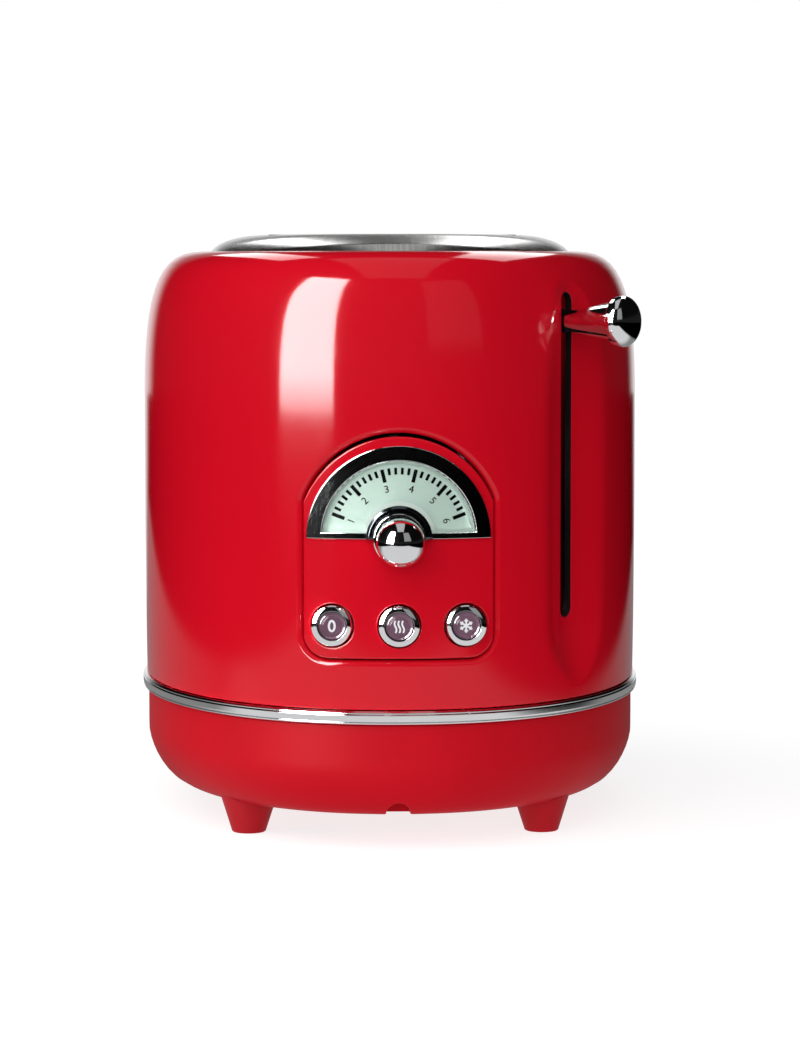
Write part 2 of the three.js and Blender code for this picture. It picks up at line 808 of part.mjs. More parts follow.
// Foot: a tapered rubber cone with the recess of its screw
function makeFoot() {
  const taper = (footTopRadius - footTipRadius) / footHeight;
  const seat = screwRecessDepth;
  return turned([
    [screwRecessRadius, 0],
    [footTipRadius - footTipRound, 0],
    [footTipRadius + taper * footTipRound, footTipRound],
    [footTopRadius, footHeight],
    [screwShankRadius + seatGap, footHeight],
    [screwShankRadius + seatGap, seat],
    [screwRecessRadius, seat],
    [screwRecessRadius, 0],
  ]);
}

function makeFootScrew() {
  const head = screwRecessDepth - seatGap;
  return turned([
    [0, head - screwHeadHeight],
    [screwHeadRadius, head - screwHeadHeight / 2],
    [screwHeadRadius, head],
    [screwShankRadius, head],
    [screwShankRadius, head + screwLength],
    [0, head + screwLength],
  ], smallSides);
}

function makeInletBush() {
  const flangeTop = baseBottom - seatGap;
  return turned([
    [inletBore, flangeTop - inletFlangeWall],
    [inletFlangeRadius, flangeTop - inletFlangeWall],
    [inletFlangeRadius, flangeTop],
    [inletRadius, flangeTop],
    [inletRadius, flangeTop + inletLength],
    [inletBore, flangeTop + inletLength],
    [inletBore, flangeTop - inletFlangeWall],
  ], smallSides);
}

// Chassis
const frontPlateInner = slotFront - chassisEndGap;
const rearPlateInner = slotRear + chassisEndGap;
const rackRest = leverRest - rackDrop;
const rackLow = rackRest - leverTravel;
const guidePivot = plateBottom + guideRise;
const guidePlaces = [
  { name: 'left_outer', x: -slotOuter + guideInset },
  { name: 'left_inner', x: -slotInner - guideInset },
  { name: 'right_inner', x: slotInner + guideInset },
  { name: 'right_outer', x: slotOuter - guideInset },
];
const carriageBack = frontPlateInner - chassisWall - carriageStandOff;
const carriageFront = carriageBack - carriageWall;
const rodPlace = carriageFront - rodStandOff + rodRadius;
const bracketLevel = plateTop - bracketDrop;

function makeChassisFloor() {
  const across = halfWidth - chassisFloorInsetX;
  const along = halfLength - chassisFloorInsetY;
  const plate = planPrism(
    roundedRectangle([-across, across], [-along, along], chassisFloorCorner),
    [chassisFloorLevel, chassisFloorLevel + chassisWall],
  );
  const window = box(
    [-chassisHalfWidth + crumbWindowMargin, chassisHalfWidth - crumbWindowMargin],
    [frontPlateInner + crumbWindowMargin, rearPlateInner - crumbWindowMargin],
    [0, plateTop],
  );
  return cut(plate, window);
}

function chassisPlate([y0, y1]) {
  const plate = box([-chassisHalfWidth, chassisHalfWidth], [y0, y1], [plateBottom, plateTop]);
  const rackSlots = [-slotMiddle, slotMiddle].map((x) => {
    const half = rackWidth / 2 + runGap;
    return box([x - half, x + half], [y0 - overrun, y1 + overrun],
      [rackLow - runGap, rackRest + rackHeight + leverHighLift + runGap]);
  });
  const pivots = guidePlaces.map(({ x }) => (
    fromFront(guideWireRadius + seatGap, x, guidePivot, [y0 - overrun, y1 + overrun], smallSides)
  ));
  return cut(plate, ...rackSlots, ...pivots);
}

function makeFrontPlate() {
  const outer = frontPlateInner - chassisWall;
  const bracket = cut(
    box([springOffset - hookHalfWidth, rodOffset + bushHalfWidth],
      [outer - bracketReach, frontPlateInner - chassisWall / 2], [bracketLevel, bracketLevel + chassisWall]),
    upright(rodRadius + seatGap, rodOffset, rodPlace, [plateBottom, plateTop + overrun]),
  );
  return join(chassisPlate([outer, frontPlateInner]), bracket);
}

function makeRearPlate() {
  return chassisPlate([rearPlateInner, rearPlateInner + chassisWall]);
}

// Heater board: a mica sheet with its ribbon wound round it
function makeHeaterBoard(x) {
  const ends = [frontPlateInner + seatGap, rearPlateInner - seatGap];
  const bottom = plateBottom + heaterRise;
  const top = plateTop - heaterDrop;
  const sheet = box([x - heaterWall / 2, x + heaterWall / 2], ends, [bottom, top]);
  const pitch = (top - bottom) / (ribbonCount + 1);
  const reach = heaterWall / 2 + ribbonProud;
  const ribbons = Array.from({ length: ribbonCount }, (_, i) => {
    const z = bottom + pitch * (i + 1);
    return box([x - reach, x + reach], [ends[0] + chassisEndGap, ends[1] - chassisEndGap],
      [z - ribbonHeight / 2, z + ribbonHeight / 2]);
  });
  return join(sheet, ...ribbons);
}

const heaterPlaces = [
  { name: 'heater_left_outer', x: -slotOuter - heaterOuterGap + heaterWall / 2 },
  { name: 'heater_left_inner', x: -slotInner + heaterBridgeInset },
  { name: 'heater_right_inner', x: slotInner - heaterBridgeInset },
  { name: 'heater_right_outer', x: slotOuter + heaterOuterGap - heaterWall / 2 },
];

// Bread guide: upright wires on a pivot wire, joined by a wire along their tops
function makeBreadGuide(x) {
  const pivotEnds = [frontPlateInner - chassisWall, rearPlateInner + chassisWall];
  const top = plateTop - guideDrop;
  const ends = [slotFront + breadSlotCorner, slotRear - breadSlotCorner];
  const along = (z, [y0, y1]) => (
    rod(guideWireRadius, new THREE.Vector3(x, y0, z), new THREE.Vector3(x, y1, z), wireSides)
  );
  const pitch = (ends[1] - ends[0]) / (guideWireCount - 1);
  const wires = Array.from({ length: guideWireCount }, (_, i) => (
    upright(guideWireRadius, x, ends[0] + pitch * i, [guidePivot, top], wireSides)
  ));
  return join(
    along(guidePivot, [pivotEnds[0] - runGap, pivotEnds[1] + runGap]),
    along(top, [ends[0] - guideTail, ends[1] + guideTail]),
    ...wires,
  );
}

// Rack: a spine under the bread with cross ribs, carried by the carriage through both plates
function makeBreadRack(x) {
  const ends = [carriageBack + seatGap, rearPlateInner + chassisWall + runGap];
  const spine = box([x - rackWidth / 2, x + rackWidth / 2], ends, [rackRest, rackRest + rackHeight]);
  const span = breadSlotLength - 2 * breadSlotCorner;
  const pitch = span / (rackRibCount - 1);
  const ribs = Array.from({ length: rackRibCount }, (_, i) => {
    const y = breadSlotSetBack - span / 2 + pitch * i;
    return box([x - rackRibWidth / 2, x + rackRibWidth / 2], [y - rackRibLength / 2, y + rackRibLength / 2],
      [rackRest + rackHeight / 2, rackRest + rackHeight]);
  });
  return join(spine, ...ribs);
}

// Carriage: pressed plate, bush, spring hook, keeper shelf and the arm that leaves by the lever slot
function bar(from, to, width, [z0, z1]) {
  const run = new THREE.Vector3().subVectors(to, from);
  const geometry = new THREE.BoxGeometry(run.length(), width, z1 - z0);
  const middle = new THREE.Vector3().addVectors(from, to).multiplyScalar(1 / 2);
  return solidOf(geometry.rotateZ(Math.atan2(run.y, run.x)).translate(middle.x, middle.y, (z0 + z1) / 2));
}

const keeperBottom = rackRest - seatGap + keeperRise;
const magnetTop = keeperBottom - leverTravel - seatGap - magnetCoreProud;

function makeCarriage() {
  const top = leverRest + leverBladeHeight / 2;
  const bottom = rackRest - seatGap;
  const plate = box([-carriageHalfWidth, carriageHalfWidth], [carriageFront, carriageBack], [bottom, top]);
  const window = box([-carriageWindowWidth / 2, carriageWindowWidth / 2],
    [carriageFront - overrun, carriageBack + overrun],
    [top - leverBladeHeight - carriageWindowHeight, top - leverBladeHeight]);
  const bush = box([rodOffset - bushHalfWidth, rodOffset + bushHalfWidth],
    [rodPlace - bushHalfWidth, carriageBack], [bottom + bushRise, bottom + bushRise + bushHeight]);
  const bore = upright(rodRadius + seatGap, rodOffset, rodPlace, [bottom - overrun, top + overrun]);
  const hook = box([springOffset - hookHalfWidth, springOffset + hookHalfWidth],
    [rodPlace - hookHalfWidth, carriageBack], [bottom, bottom + carriageWall]);
  const shelf = box([magnetOffset - keeperHalfWidth, magnetOffset + keeperHalfWidth],
    [rodPlace - hookHalfWidth, carriageBack],
    [keeperBottom + keeperWall + seatGap, keeperBottom + keeperWall + seatGap + carriageWall]);
  const elbow = leverPoint(-scoopDepth - leverBladeReach);
  const tip = leverPoint(-scoopDepth + runGap);
  const root = new THREE.Vector3(carriageHalfWidth - leverBladeWidth, carriageBack - carriageWall / 2, 0);
  const height = [top - leverBladeHeight, top];
  return join(
    cut(join(plate, bush), window, bore),
    hook,
    shelf,
    bar(root, elbow, leverBladeWidth, height),
    bar(elbow, tip, leverBladeWidth, height),
    upright(leverBladeWidth / 2, elbow.x, elbow.y, height, smallSides),
  );
}

function makeKeeper() {
  return box([magnetOffset - keeperHalfWidth, magnetOffset + keeperHalfWidth],
    [rodPlace - hookHalfWidth, carriageFront - seatGap], [keeperBottom, keeperBottom + keeperWall]);
}

function makeElectromagnet() {
  return join(
    upright(magnetRadius, magnetOffset, rodPlace, [plateBottom, magnetTop]),
    upright(magnetCoreRadius, magnetOffset, rodPlace, [plateBottom, magnetTop + magnetCoreProud]),
  );
}

class CoilPath extends THREE.Curve {
  getPoint(share) {
    const turn = 2 * Math.PI * springTurns * share;
    const low = rackRest - seatGap + carriageWall + seatGap + springWireRadius;
    const high = bracketLevel - seatGap - springWireRadius;
    return new THREE.Vector3(
      springOffset + springCoilRadius * Math.cos(turn),
      rodPlace + springCoilRadius * Math.sin(turn),
      low + (high - low) * share,
    );
  }
}

function makeReturnSpring() {
  const section = new THREE.Shape(Array.from({ length: springSides }, (_, i) => {
    const turn = 2 * Math.PI * i / springSides;
    return new THREE.Vector2(springWireRadius * Math.cos(turn), springWireRadius * Math.sin(turn));
  }));
  return solidOf(new THREE.ExtrudeGeometry(section, {
    steps: springTurns * springStepsPerTurn,
    extrudePath: new CoilPath(),
    bevelEnabled: false,
  }));
}

// Lever stem and knob, along +Z, laid along the lever's axis when placed
function makeLeverStem() {
  return turned([
    [0, 0],
    [leverStemTipRadius, 0],
    [leverStemRadius, leverStemLength],
    [0, leverStemLength],
  ]);
}

function makeLeverKnob() {
  const dome = roundedEdge(leverKnobRadius, leverKnobDome, 2, bowlSteps);
  return turned([
    [0, 0],
    [leverKnobRadius, 0],
    ...dome.slice(0, -1).map(([inset, rise]) => [leverKnobRadius - inset, leverKnobRim + rise]),
    [0, leverKnobRim + leverKnobDome],
  ]);
}

// Assembly
const toaster = new THREE.Group();

function addPiece(name, solid, finish, parent = toaster) {
  const mesh = new THREE.Mesh(geometryOf(solid), new THREE.MeshStandardMaterial(finishes[finish]));
  mesh.name = name;
  parent.add(mesh);
  return mesh;
}

function addHousing() {
  addPiece('casing', makeCasing(), 'glossPaint');
  addPiece('base', makeBase(), 'satinPlastic');
  addPiece('chrome_band', makeBand(), 'chrome');
  addPiece('slot_collar', makeCollar(), 'brushedSteel');
  addPiece('crumb_tray', makeCrumbTray(), 'satinPlastic');
  addPiece('cord_inlet_bush', makeInletBush(), 'blackPlastic').position.set(-inletOffset, -inletSetBack, 0);
  footPlaces.forEach(({ name, x, y }) => {
    addPiece(`foot_${name}`, makeFoot(), 'satinPlastic').position.set(x, y, 0);
    addPiece(`foot_screw_${name}`, makeFootScrew(), 'zincSteel').position.set(x, y, 0);
  });
}

function addControls() {
  addPiece('control_panel', makeControlPanel(), 'glossPaint');
  addPiece('dial_bezel', makeBezel(), 'chrome');
  addPiece('dial_plate', makeDialPlate(), 'dialWhite');
  addPiece('dial_lens', makeDialLens(), 'clearPlastic');
  addPiece('knob_hub', makeKnobHub(), 'darkChrome');
  addPiece('potentiometer', makePotentiometer(), 'blackPlastic');
  addPiece('circuit_board', makeCircuitBoard(), 'boardGreen');
  const knob = addPiece('browning_knob', makeBrowningKnob(), 'chrome');
  knob.position.set(0, frontFace, dialCentre);
  knob.rotation.x = Math.PI / 2;
  ['cancel', 'reheat', 'defrost'].forEach((name, i) => {
    const x = buttonPlaces[i];
    const face = frontFace + frontSag(x);
    const place = new THREE.Group();
    place.position.set(x, face, buttonCentre);
    place.rotation.x = Math.PI / 2;
    toaster.add(place);
    addPiece(`button_${name}`, makeButtonCap(face), 'chrome', place);
    addPiece(`button_lens_${name}`, makeButtonLens(), 'smokedLens', place);
    addPiece(`switch_${name}`, makeSwitch(x), 'blackPlastic');
  });
}

function addMechanism() {
  addPiece('chassis_floor', makeChassisFloor(), 'zincSteel');
  addPiece('front_chassis_plate', makeFrontPlate(), 'zincSteel');
  addPiece('rear_chassis_plate', makeRearPlate(), 'zincSteel');
  heaterPlaces.forEach(({ name, x }) => addPiece(name, makeHeaterBoard(x), 'mica'));
  guidePlaces.forEach(({ name, x }) => addPiece(`bread_guide_${name}`, makeBreadGuide(x), 'zincSteel'));
  addPiece('carriage', makeCarriage(), 'zincSteel');
  addPiece('keeper', makeKeeper(), 'zincSteel');
  addPiece('bread_rack_left', makeBreadRack(-slotMiddle), 'zincSteel');
  addPiece('bread_rack_right', makeBreadRack(slotMiddle), 'zincSteel');
  addPiece('guide_rod', upright(rodRadius, rodOffset, rodPlace, [plateBottom, plateTop]), 'zincSteel');
  addPiece('electromagnet', makeElectromagnet(), 'copper');
  addPiece('return_spring', makeReturnSpring(), 'zincSteel');
}

function addLever() {
  const lever = new THREE.Group();
  lever.position.copy(leverPoint(-scoopDepth + runGap + seatGap, leverRest));
  lever.rotation.set(0, Math.PI / 2, leverTurn, 'ZYX');
  toaster.add(lever);
  addPiece('lever_stem', makeLeverStem(), 'chrome', lever);
  addPiece('lever_knob', makeLeverKnob(), 'chrome', lever).position.z = leverStemLength + seatGap;
}

addHousing();
addControls();
addMechanism();
addLever();

// The origin lies midway between the ball of the knob and the rear of the band
const frontReach = halfLength + ballProud + ballRadius;
const rearReach = halfLength + bandProud;
toaster.position.y = (frontReach - rearReach) / 2;

export default toaster;
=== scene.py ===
# The look of a two-slice electric toaster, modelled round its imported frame.
# Shapes are worked out in millimetres from the middle of the casing, and meshes are made in metres.
import cmath
from math import acos, asin, atan, copysign, cos, pi, radians, sin, tan

import bpy
import numpy as np
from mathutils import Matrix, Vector
from mathutils.geometry import delaunay_2d_cdt
from numpy import array, concatenate as joined, linspace


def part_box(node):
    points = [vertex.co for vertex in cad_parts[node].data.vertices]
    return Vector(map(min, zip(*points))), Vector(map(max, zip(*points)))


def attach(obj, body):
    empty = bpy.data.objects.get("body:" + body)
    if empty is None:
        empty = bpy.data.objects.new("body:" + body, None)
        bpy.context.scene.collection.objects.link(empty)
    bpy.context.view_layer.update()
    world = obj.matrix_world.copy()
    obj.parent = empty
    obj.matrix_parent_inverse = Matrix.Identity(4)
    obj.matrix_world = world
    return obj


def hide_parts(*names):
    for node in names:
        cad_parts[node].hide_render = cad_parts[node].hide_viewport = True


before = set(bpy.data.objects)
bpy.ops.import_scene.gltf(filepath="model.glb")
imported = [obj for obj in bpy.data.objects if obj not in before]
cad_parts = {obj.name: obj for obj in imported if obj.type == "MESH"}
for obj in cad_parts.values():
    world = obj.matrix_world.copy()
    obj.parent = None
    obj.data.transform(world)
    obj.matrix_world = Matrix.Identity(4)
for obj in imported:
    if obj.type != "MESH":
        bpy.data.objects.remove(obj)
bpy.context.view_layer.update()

MM = 0.001
MICRON = 0.000001
TAU = 2 * pi
QUARTER = pi / 2
MIRROR = array([-1, 1])
FACING_FRONT = array([[1, 0, 0], [0, 0, 1], [0, -1, 0]])


def span(node, axis):
    """Ends of a node along an axis, in millimetres."""
    low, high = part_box(node)
    return low[axis] / MM, high[axis] / MM


def middle(node, axis):
    """Middle of a node along an axis."""
    return sum(span(node, axis)) / 2


# The frame of the shapes: the middle of the casing, at the level of the table
CENTRE_Y = middle("casing", 1)
CENTRE = array([0, CENTRE_Y, 0])

# Oval outline
HALF_WIDTH = 89.1
HALF_LENGTH = 135
POWER = 2.15

# Levels taken from the frame
BASE_BOTTOM, BASE_TOP = span("base", 2)
BAND_BOTTOM, BAND_TOP = span("chrome_band", 2)
CASING_BOTTOM, CASING_TOP = span("casing", 2)
COLLAR_BOTTOM, COLLAR_TOP = span("slot_collar", 2)
PANEL_BOTTOM, PANEL_TOP = span("control_panel", 2)
DIAL_CENTRE = middle("browning_knob", 2)
BUTTON_CENTRE = middle("button_reheat", 2)
LEVER_LEVEL = middle("lever_knob", 2)

# Casing
CASING_WALL = 1.2
BELLY_INSET = 0.55
BELLY_RISE = 74
SHOULDER_WIDTH = 26
SHOULDER_HEIGHT = 66
SHOULDER_POWER = 3.55
CASING_LAND = 5
CASING_LIP = 0.5

# Lever: its recess, the slit it moves in, its stem and knob
LEVER_ANGLE = radians(54.3)
SCOOP_HALF = 23
SCOOP_DEPTH = 6.1
SCOOP_BOTTOM = CASING_BOTTOM + 3.4
SCOOP_TOE = 24
SCOOP_SOFTNESS = 0.5
SLIT_WIDTH = 6.6
SLIT_RISE = 27.1
SLIT_DROP = 13.9
SLIT_ROLL = 0.5
# Top and depth of the black sheet in the slit, which is painted shade over its walls
SHADE_SHEET_TOP = 0.25
SHADE_SHEET_DEPTH = 2.8
STEM_START = 4.6
STEM_LENGTH = 18.6
STEM_TIP_RADIUS = 3.5
STEM_RADIUS = 6.7
CAP_RADIUS = 8.6
CAP_RIM = 2.5
CAP_DOME = 5

# Control panel
PANEL_HALF = 31.7
ARCH_RADIUS = 34
PANEL_CORNER = 8
PANEL_GAP = 0.5
PANEL_WALL = 2
PANEL_ROLL = 0.7
PANEL_SEAT_ROLL = 2
PANEL_TOP_GAP = 0.7

# Dial
BEZEL_RADIUS = 30.7
WINDOW_RADIUS = 25.4
BEZEL_SILL = 2
BEZEL_SEAT = 0.3
BEZEL_PROUD = 0.9
BEZEL_BACK = -1.6
OPENING_RADIUS = 28
PLATE_RADIUS = 29.6
PLATE_WALL = 1
DIAL_DEPTH = 2.3
SCALE_NUMBERS = 6
SCALE_PARTS = 5
SCALE_TURN = radians(70)
SCALE_RADIUS = 23.4
SCALE_MAJOR = (19.06, 0.6)
SCALE_MINOR = (21.16, 0.46)
NUMERAL_RADIUS = 16.8
NUMERAL_HEIGHT = 2.5
DIGIT_SHARE = 0.73
LENS_BORE = 12.4
LENS_WALL = 1
LENS_SINK = 1
HUB_RADIUS = 11
HUB_PROUD = 1.6

# Knob
BALL_RADIUS = 8
BALL_PROUD = 16
FLANGE_RADIUS = 8.6
FLANGE_WALL = 1.4
NECK_RADIUS = 4.6
KNOB_SHAFT_RADIUS = 3

# Buttons
BUTTON_PITCH = 22.2
BUTTON_RADIUS = 6.8
BUTTON_PROUD = 1.6
BUTTON_CROWN = 0.9
BUTTON_HOLE_GAP = 0.5
BUTTON_FLANGE = -7.2
BUTTON_FOOT = 8.1
BUTTON_STEM_RADIUS = 2
BUTTON_POCKET = -1.5
LENS_RADIUS = 4.6
LENS_FRONT = BUTTON_PROUD - 0.4
LENS_BACK = BUTTON_PROUD - 2.8
PRINT_WALL = 0.12

# Base
BASE_INSET = 1.1
BASE_WALL = 2.4
BASE_LIP = 0.4
BOWL_WIDTH = 9.8
BOWL_HEIGHT = 15.9
BOWL_POWER = 1.55
BOWL_FLOOR_INSET = 26
FOOT_SPREAD_Y = middle("foot_rear_left", 1) - CENTRE_Y
VENT_WIDTH = 3
VENT_LENGTH = 22
VENT_PITCH = 8
VENT_COUNT = 5
INLET_PLACE = (middle("cord_inlet_bush", 0), CENTRE_Y - middle("cord_inlet_bush", 1))
INLET_RADIUS = 6.9
NOTCH_RADIUS = 4.6
NOTCH_DIP = 0.3
NOTCH_END = -HALF_LENGTH + BASE_INSET + BOWL_WIDTH + 8

# Crumb tray
TRAY_HALF = span("crumb_tray", 0)[1]
TRAY_BOTTOM, TRAY_TOP = span("crumb_tray", 2)
TRAY_WALL = 1
TRAY_RIM = 6.5
TRAY_LIP_WALL = 1.6

# Band
BAND_PROUD = 0.9
BAND_WALL = 4.4

# Collar
COLLAR_INSET = 23.4
COLLAR_EDGE = 19
COLLAR_WALL = 1.2
BREAD_WIDTH = 33
BREAD_LENGTH = 132
BREAD_BRIDGE = 18
BREAD_CORNER = 5
BREAD_SET_BACK = 8
SLOT_ROLL = 1.4
SLOT_LIP_DEPTH = 7

# Feet
FOOT_TOP_RADIUS = 9.6
FOOT_TIP_RADIUS = 5.7
FOOT_POCKET_RADIUS = 3.7
FOOT_POCKET = 5
FOOT_BORE_RADIUS = 1.6


def unit(vectors):
    """Vectors scaled to length one."""
    vectors = np.asarray(vectors, float)
    length = np.linalg.norm(vectors, axis=-1, keepdims=True)
    return vectors / np.where(length == 0, 1, length)


def columns(*parts):
    """Points from coordinates, each an array or a number."""
    return np.stack(np.broadcast_arrays(*parts), axis=-1).astype(float)


def run_along(first, second):
    """Distance along a flat chain of points."""
    return joined([[0], np.cumsum(np.hypot(np.diff(first), np.diff(second)))])


def flank(across, up, side):
    """Flat directions laid on a surface's tangents."""
    return across * side[:, :1] + up * side[:, 1:]


def new_object(name, data):
    """An object of the scene."""
    item = bpy.data.objects.new(name, data)
    bpy.context.scene.collection.objects.link(item)
    return item


STOOD_FOR = set()


class Skin:
    """Patches of points with true normals, welded into one mesh."""

    def __init__(self):
        self.points, self.normals, self.faces, self.count = [], [], [], 0

    def add(self, points, normals, faces):
        """A patch of any faces."""
        points = np.asarray(points, float).reshape(-1, 3)
        self.points.append(points)
        self.normals.append(np.asarray(normals, float).reshape(-1, 3))
        self.faces.extend(tuple(int(i) + self.count for i in face) for face in faces)
        self.count += len(points)

    def grid(self, points, normals):
        """A patch of rows of points."""
        points = np.asarray(points, float)
        rows, width = points.shape[:2]
        start = np.arange(rows - 1)[:, None] * width + np.arange(width - 1)[None, :]
        quads = np.stack([start, start + 1, start + 1 + width, start + width], axis=-1)
        self.add(points, normals, quads.reshape(-1, 4))

    def sweep(self, profile, ring):
        """Strips along a profile; ring turns a spot and normal into a row."""
        for start, end in zip(profile, profile[1:]):
            if not np.allclose(start[0], end[0]):
                rows = ring(*start), ring(*end)
                self.grid([points for points, _ in rows], [normals for _, normals in rows])
        return self

    def box(self, low, high):
        """A plain block."""
        for axis in range(3):
            for sign in (-1, 1):
                ends = np.roll([(sign, -1, -1), (sign, 1, -1), (sign, 1, 1), (sign, -1, 1)], axis, axis=1)
                away = np.roll([(sign, 0, 0)] * 4, axis, axis=1)
                self.add(np.where(ends > 0, high, low), away, [range(4)[::sign]])

    def sheet(self, surface, loops, spacing, wall, fine=None):
        """Outer and inner skin inside loops; fine is a box with its own spacing."""
        edge = joined(loops)
        inner, gap = lattice(edge.min(axis=0), edge.max(axis=0), spacing), spacing
        if fine:
            low, high, gap = fine
            within = np.all((inner > array(low) - gap) & (inner < array(high) + gap), axis=1)
            inner = joined([inner[~within], lattice(low, high, gap)])
        inner = inner[inside(inner, loops)]
        near = np.min(np.linalg.norm(inner[:, None, :] - edge[None, :, :], axis=2), axis=1)
        edges, start = [], 0
        for loop in loops:
            end = start + len(loop)
            edges += [*zip(range(start, end - 1), range(start + 1, end)), (end - 1, start)]
            start = end
        flat = [Vector(point) for point in joined([edge, inner[near > 0.6 * gap]])]
        points, _, triangles, *_ = delaunay_2d_cdt(flat, edges, [], 2, 1e-6)
        flat, triangles = array([tuple(point) for point in points]), array(triangles)
        triangles = triangles[inside(flat[triangles].mean(axis=1), loops)]
        place, out, _, _ = surface(flat)
        self.add(place, out, triangles)
        self.add(place - out * wall, -out, triangles[:, ::-1])

    def rim(self, surface, loop, fillet, depth, wall, steps=5, closed=True):
        """The rounded edge of a plate on a loop's left."""
        inward = side_normals(loop, closed)

        def row(share_in, sink, out_share, side_share):
            place, out, across, up = surface(loop + inward * share_in)
            return place - out * sink, out * out_share - flank(across, up, inward) * side_share

        rows = [row(0, depth, 0, 1)]
        for k in range(steps, -1, -1):
            sine, cosine = sin(QUARTER * k / steps), cos(QUARTER * k / steps)
            rows.append(row(fillet * (1 - sine), fillet * (1 - cosine), cosine, sine))
        for strip in ([row(fillet, wall, -1, 0), row(0, depth, -1, 0)], rows):
            points, normals = (np.stack(part) for part in zip(*strip))
            if closed:
                points = joined([points, points[:, :1]], axis=1)
                normals = joined([normals, normals[:, :1]], axis=1)
            self.grid(points, normals)

    def plate(self, surface, spacing, wall, rims, bare=(), fine=None):
        """A plate; its rims are loops with fillet, depth and steps."""
        loops = [*bare, *(loop + side_normals(loop) * fillet for loop, fillet, _, _ in rims)]
        self.sheet(surface, loops, spacing, wall, fine)
        for loop, fillet, depth, steps in rims:
            self.rim(surface, loop, fillet, depth, wall, steps)
        return self

    def ribbon(self, surface, path, half, closed=False, wall=PRINT_WALL):
        """A printed stroke along a flat path."""
        path = np.asarray(path, float)
        side = side_normals(path, closed) * half
        if closed:
            path, side = (joined([part, part[:1]]) for part in (path, side))
        left, out, _, _ = surface(path + side)
        right = surface(path - side)[0]
        over_left, over_right, away = left + out * wall, right + out * wall, unit(left - right)
        for first, last, normal in ((over_right, over_left, out), (left, right, -out),
                                    (over_left, left, away), (right, over_right, -away)):
            self.grid([first, last], [normal, normal])
        if not closed:
            for end, sign in ((0, -1), (-1, 1)):
                corners = [part[end] for part in (right, left, over_left, over_right)]
                self.add(corners, [np.cross(away, out)[end] * sign] * 4, [range(4)[::sign]])

    def move(self, axes, origin):
        """Places the patches; axes are the images of X, Y and Z."""
        self.points = [points @ axes + origin for points in self.points]
        self.normals = [normals @ axes for normals in self.normals]
        return self

    def finish(self, name, material, *stands_for, body="housing"):
        """One object in metres that stands for nodes and rides a body."""
        points = joined(self.points)
        normals = unit(joined(self.normals))
        _, first, welded = np.unique(np.round(points, 3), axis=0, return_index=True, return_inverse=True)
        faces, shading = [], []
        for face in self.faces:
            kept = [i for k, i in enumerate(face) if welded[i] != welded[face[k - 1]]]
            if len(kept) > 2 and len({welded[i] for i in kept}) == len(kept):
                faces.append([int(welded[i]) for i in kept])
                shading.extend(tuple(normals[i]) for i in kept)
        mesh = bpy.data.meshes.new(name)
        mesh.from_pydata(((points[first] + CENTRE) * MM).tolist(), [], faces)
        mesh.polygons.foreach_set("use_smooth", [True] * len(faces))
        mesh.normals_split_custom_set(shading)
        mesh.update()
        mesh.materials.append(material)
        piece = new_object(name, mesh)
        if stands_for:
            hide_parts(*stands_for)
        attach(piece, body)
        STOOD_FOR.update(stands_for)


def rounded(corners, steps=4):
    """Profile through corners (a, b, radius), normals on its right; None is a smooth corner, uncut."""
    spots = [complex(*corner[:2]) for corner in corners]
    ways = [(end - start) / abs(end - start) for start, end in zip(spots, spots[1:])]
    profile = []
    for corner, spot, before, after in zip(corners, spots, ways[:1] + ways, ways + ways[-1:]):
        radius = corner[2] if len(corner) > 2 else 0
        if radius is None or before == after:
            profile.append((spot, -1j * (before + after) / abs(before + after)))
        elif radius:
            bend = cmath.phase(after / before)
            reach = copysign(radius, bend)
            centre = spot - before * reach * tan(bend / 2) + 1j * before * reach
            for k in range(steps + 1):
                normal = -1j * before * cmath.exp(1j * bend * k / steps)
                profile.append((centre + normal * reach, normal))
        else:
            profile += [(spot, -1j * before), (spot, -1j * after)]
    return [tuple(array([part.real, part.imag]) for part in point) for point in profile]


def turned(corners, sides=64, steps=5, whole=TAU):
    """A skin turned round Z, from corners of radius and height."""
    turns = linspace(0, whole, sides + 1)
    ring = columns(np.cos(turns), np.sin(turns), 0)
    profile = rounded(corners, steps)
    if corners[-1][0] == 0:
        profile[-1] = (profile[-1][0], (0, 1))
    return Skin().sweep(profile, lambda spot, normal: (
        ring * spot[0] + (0, 0, spot[1]), ring * normal[0] + (0, 0, normal[1])))


def signed(values, power):
    """Values raised to a power, signs kept."""
    return np.sign(values) * np.abs(values) ** power


def oval(turns, out):
    """The outline moved out by a distance."""
    return ((HALF_WIDTH + out) * signed(np.cos(turns), 2 / POWER),
            (HALF_LENGTH + out) * signed(np.sin(turns), 2 / POWER))


def outline_table(steps=12000):
    """Turns and distances over two rounds from the front, and one round."""
    turns = linspace(-QUARTER - TAU, -QUARTER + TAU, steps + 1)
    runs = run_along(*oval(turns, 0))
    return turns, runs - runs[steps // 2], runs[-1] / 2


OVAL_TURNS, OVAL_RUNS, ROUND = outline_table()


def turn_at(run):
    """The outline's turn at a distance round it."""
    return np.interp(run, OVAL_RUNS, OVAL_TURNS)


def run_at(turn):
    """Distance round the outline at a turn."""
    return np.interp(turn, OVAL_TURNS, OVAL_RUNS)


RING_STEPS = 300
RING_TURNS = turn_at(linspace(-ROUND / 2, ROUND / 2, RING_STEPS + 1))


def oval_ring(spot, normal):
    """A ring round the oval, from distance out and height."""
    out, height = spot
    x, y = oval(RING_TURNS, out)
    away = unit(columns(*(signed(place / half, POWER - 1) / half
                          for place, half in ((x, HALF_WIDTH + out), (y, HALF_LENGTH + out))), 0))
    return columns(x, y, height), away * normal[0] + (0, 0, normal[1])


def reach(x, out):
    """The oval's length at a place across it."""
    share = 1 - np.abs(x / (HALF_WIDTH + out)) ** POWER
    return (HALF_LENGTH + out) * share ** (1 / POWER)


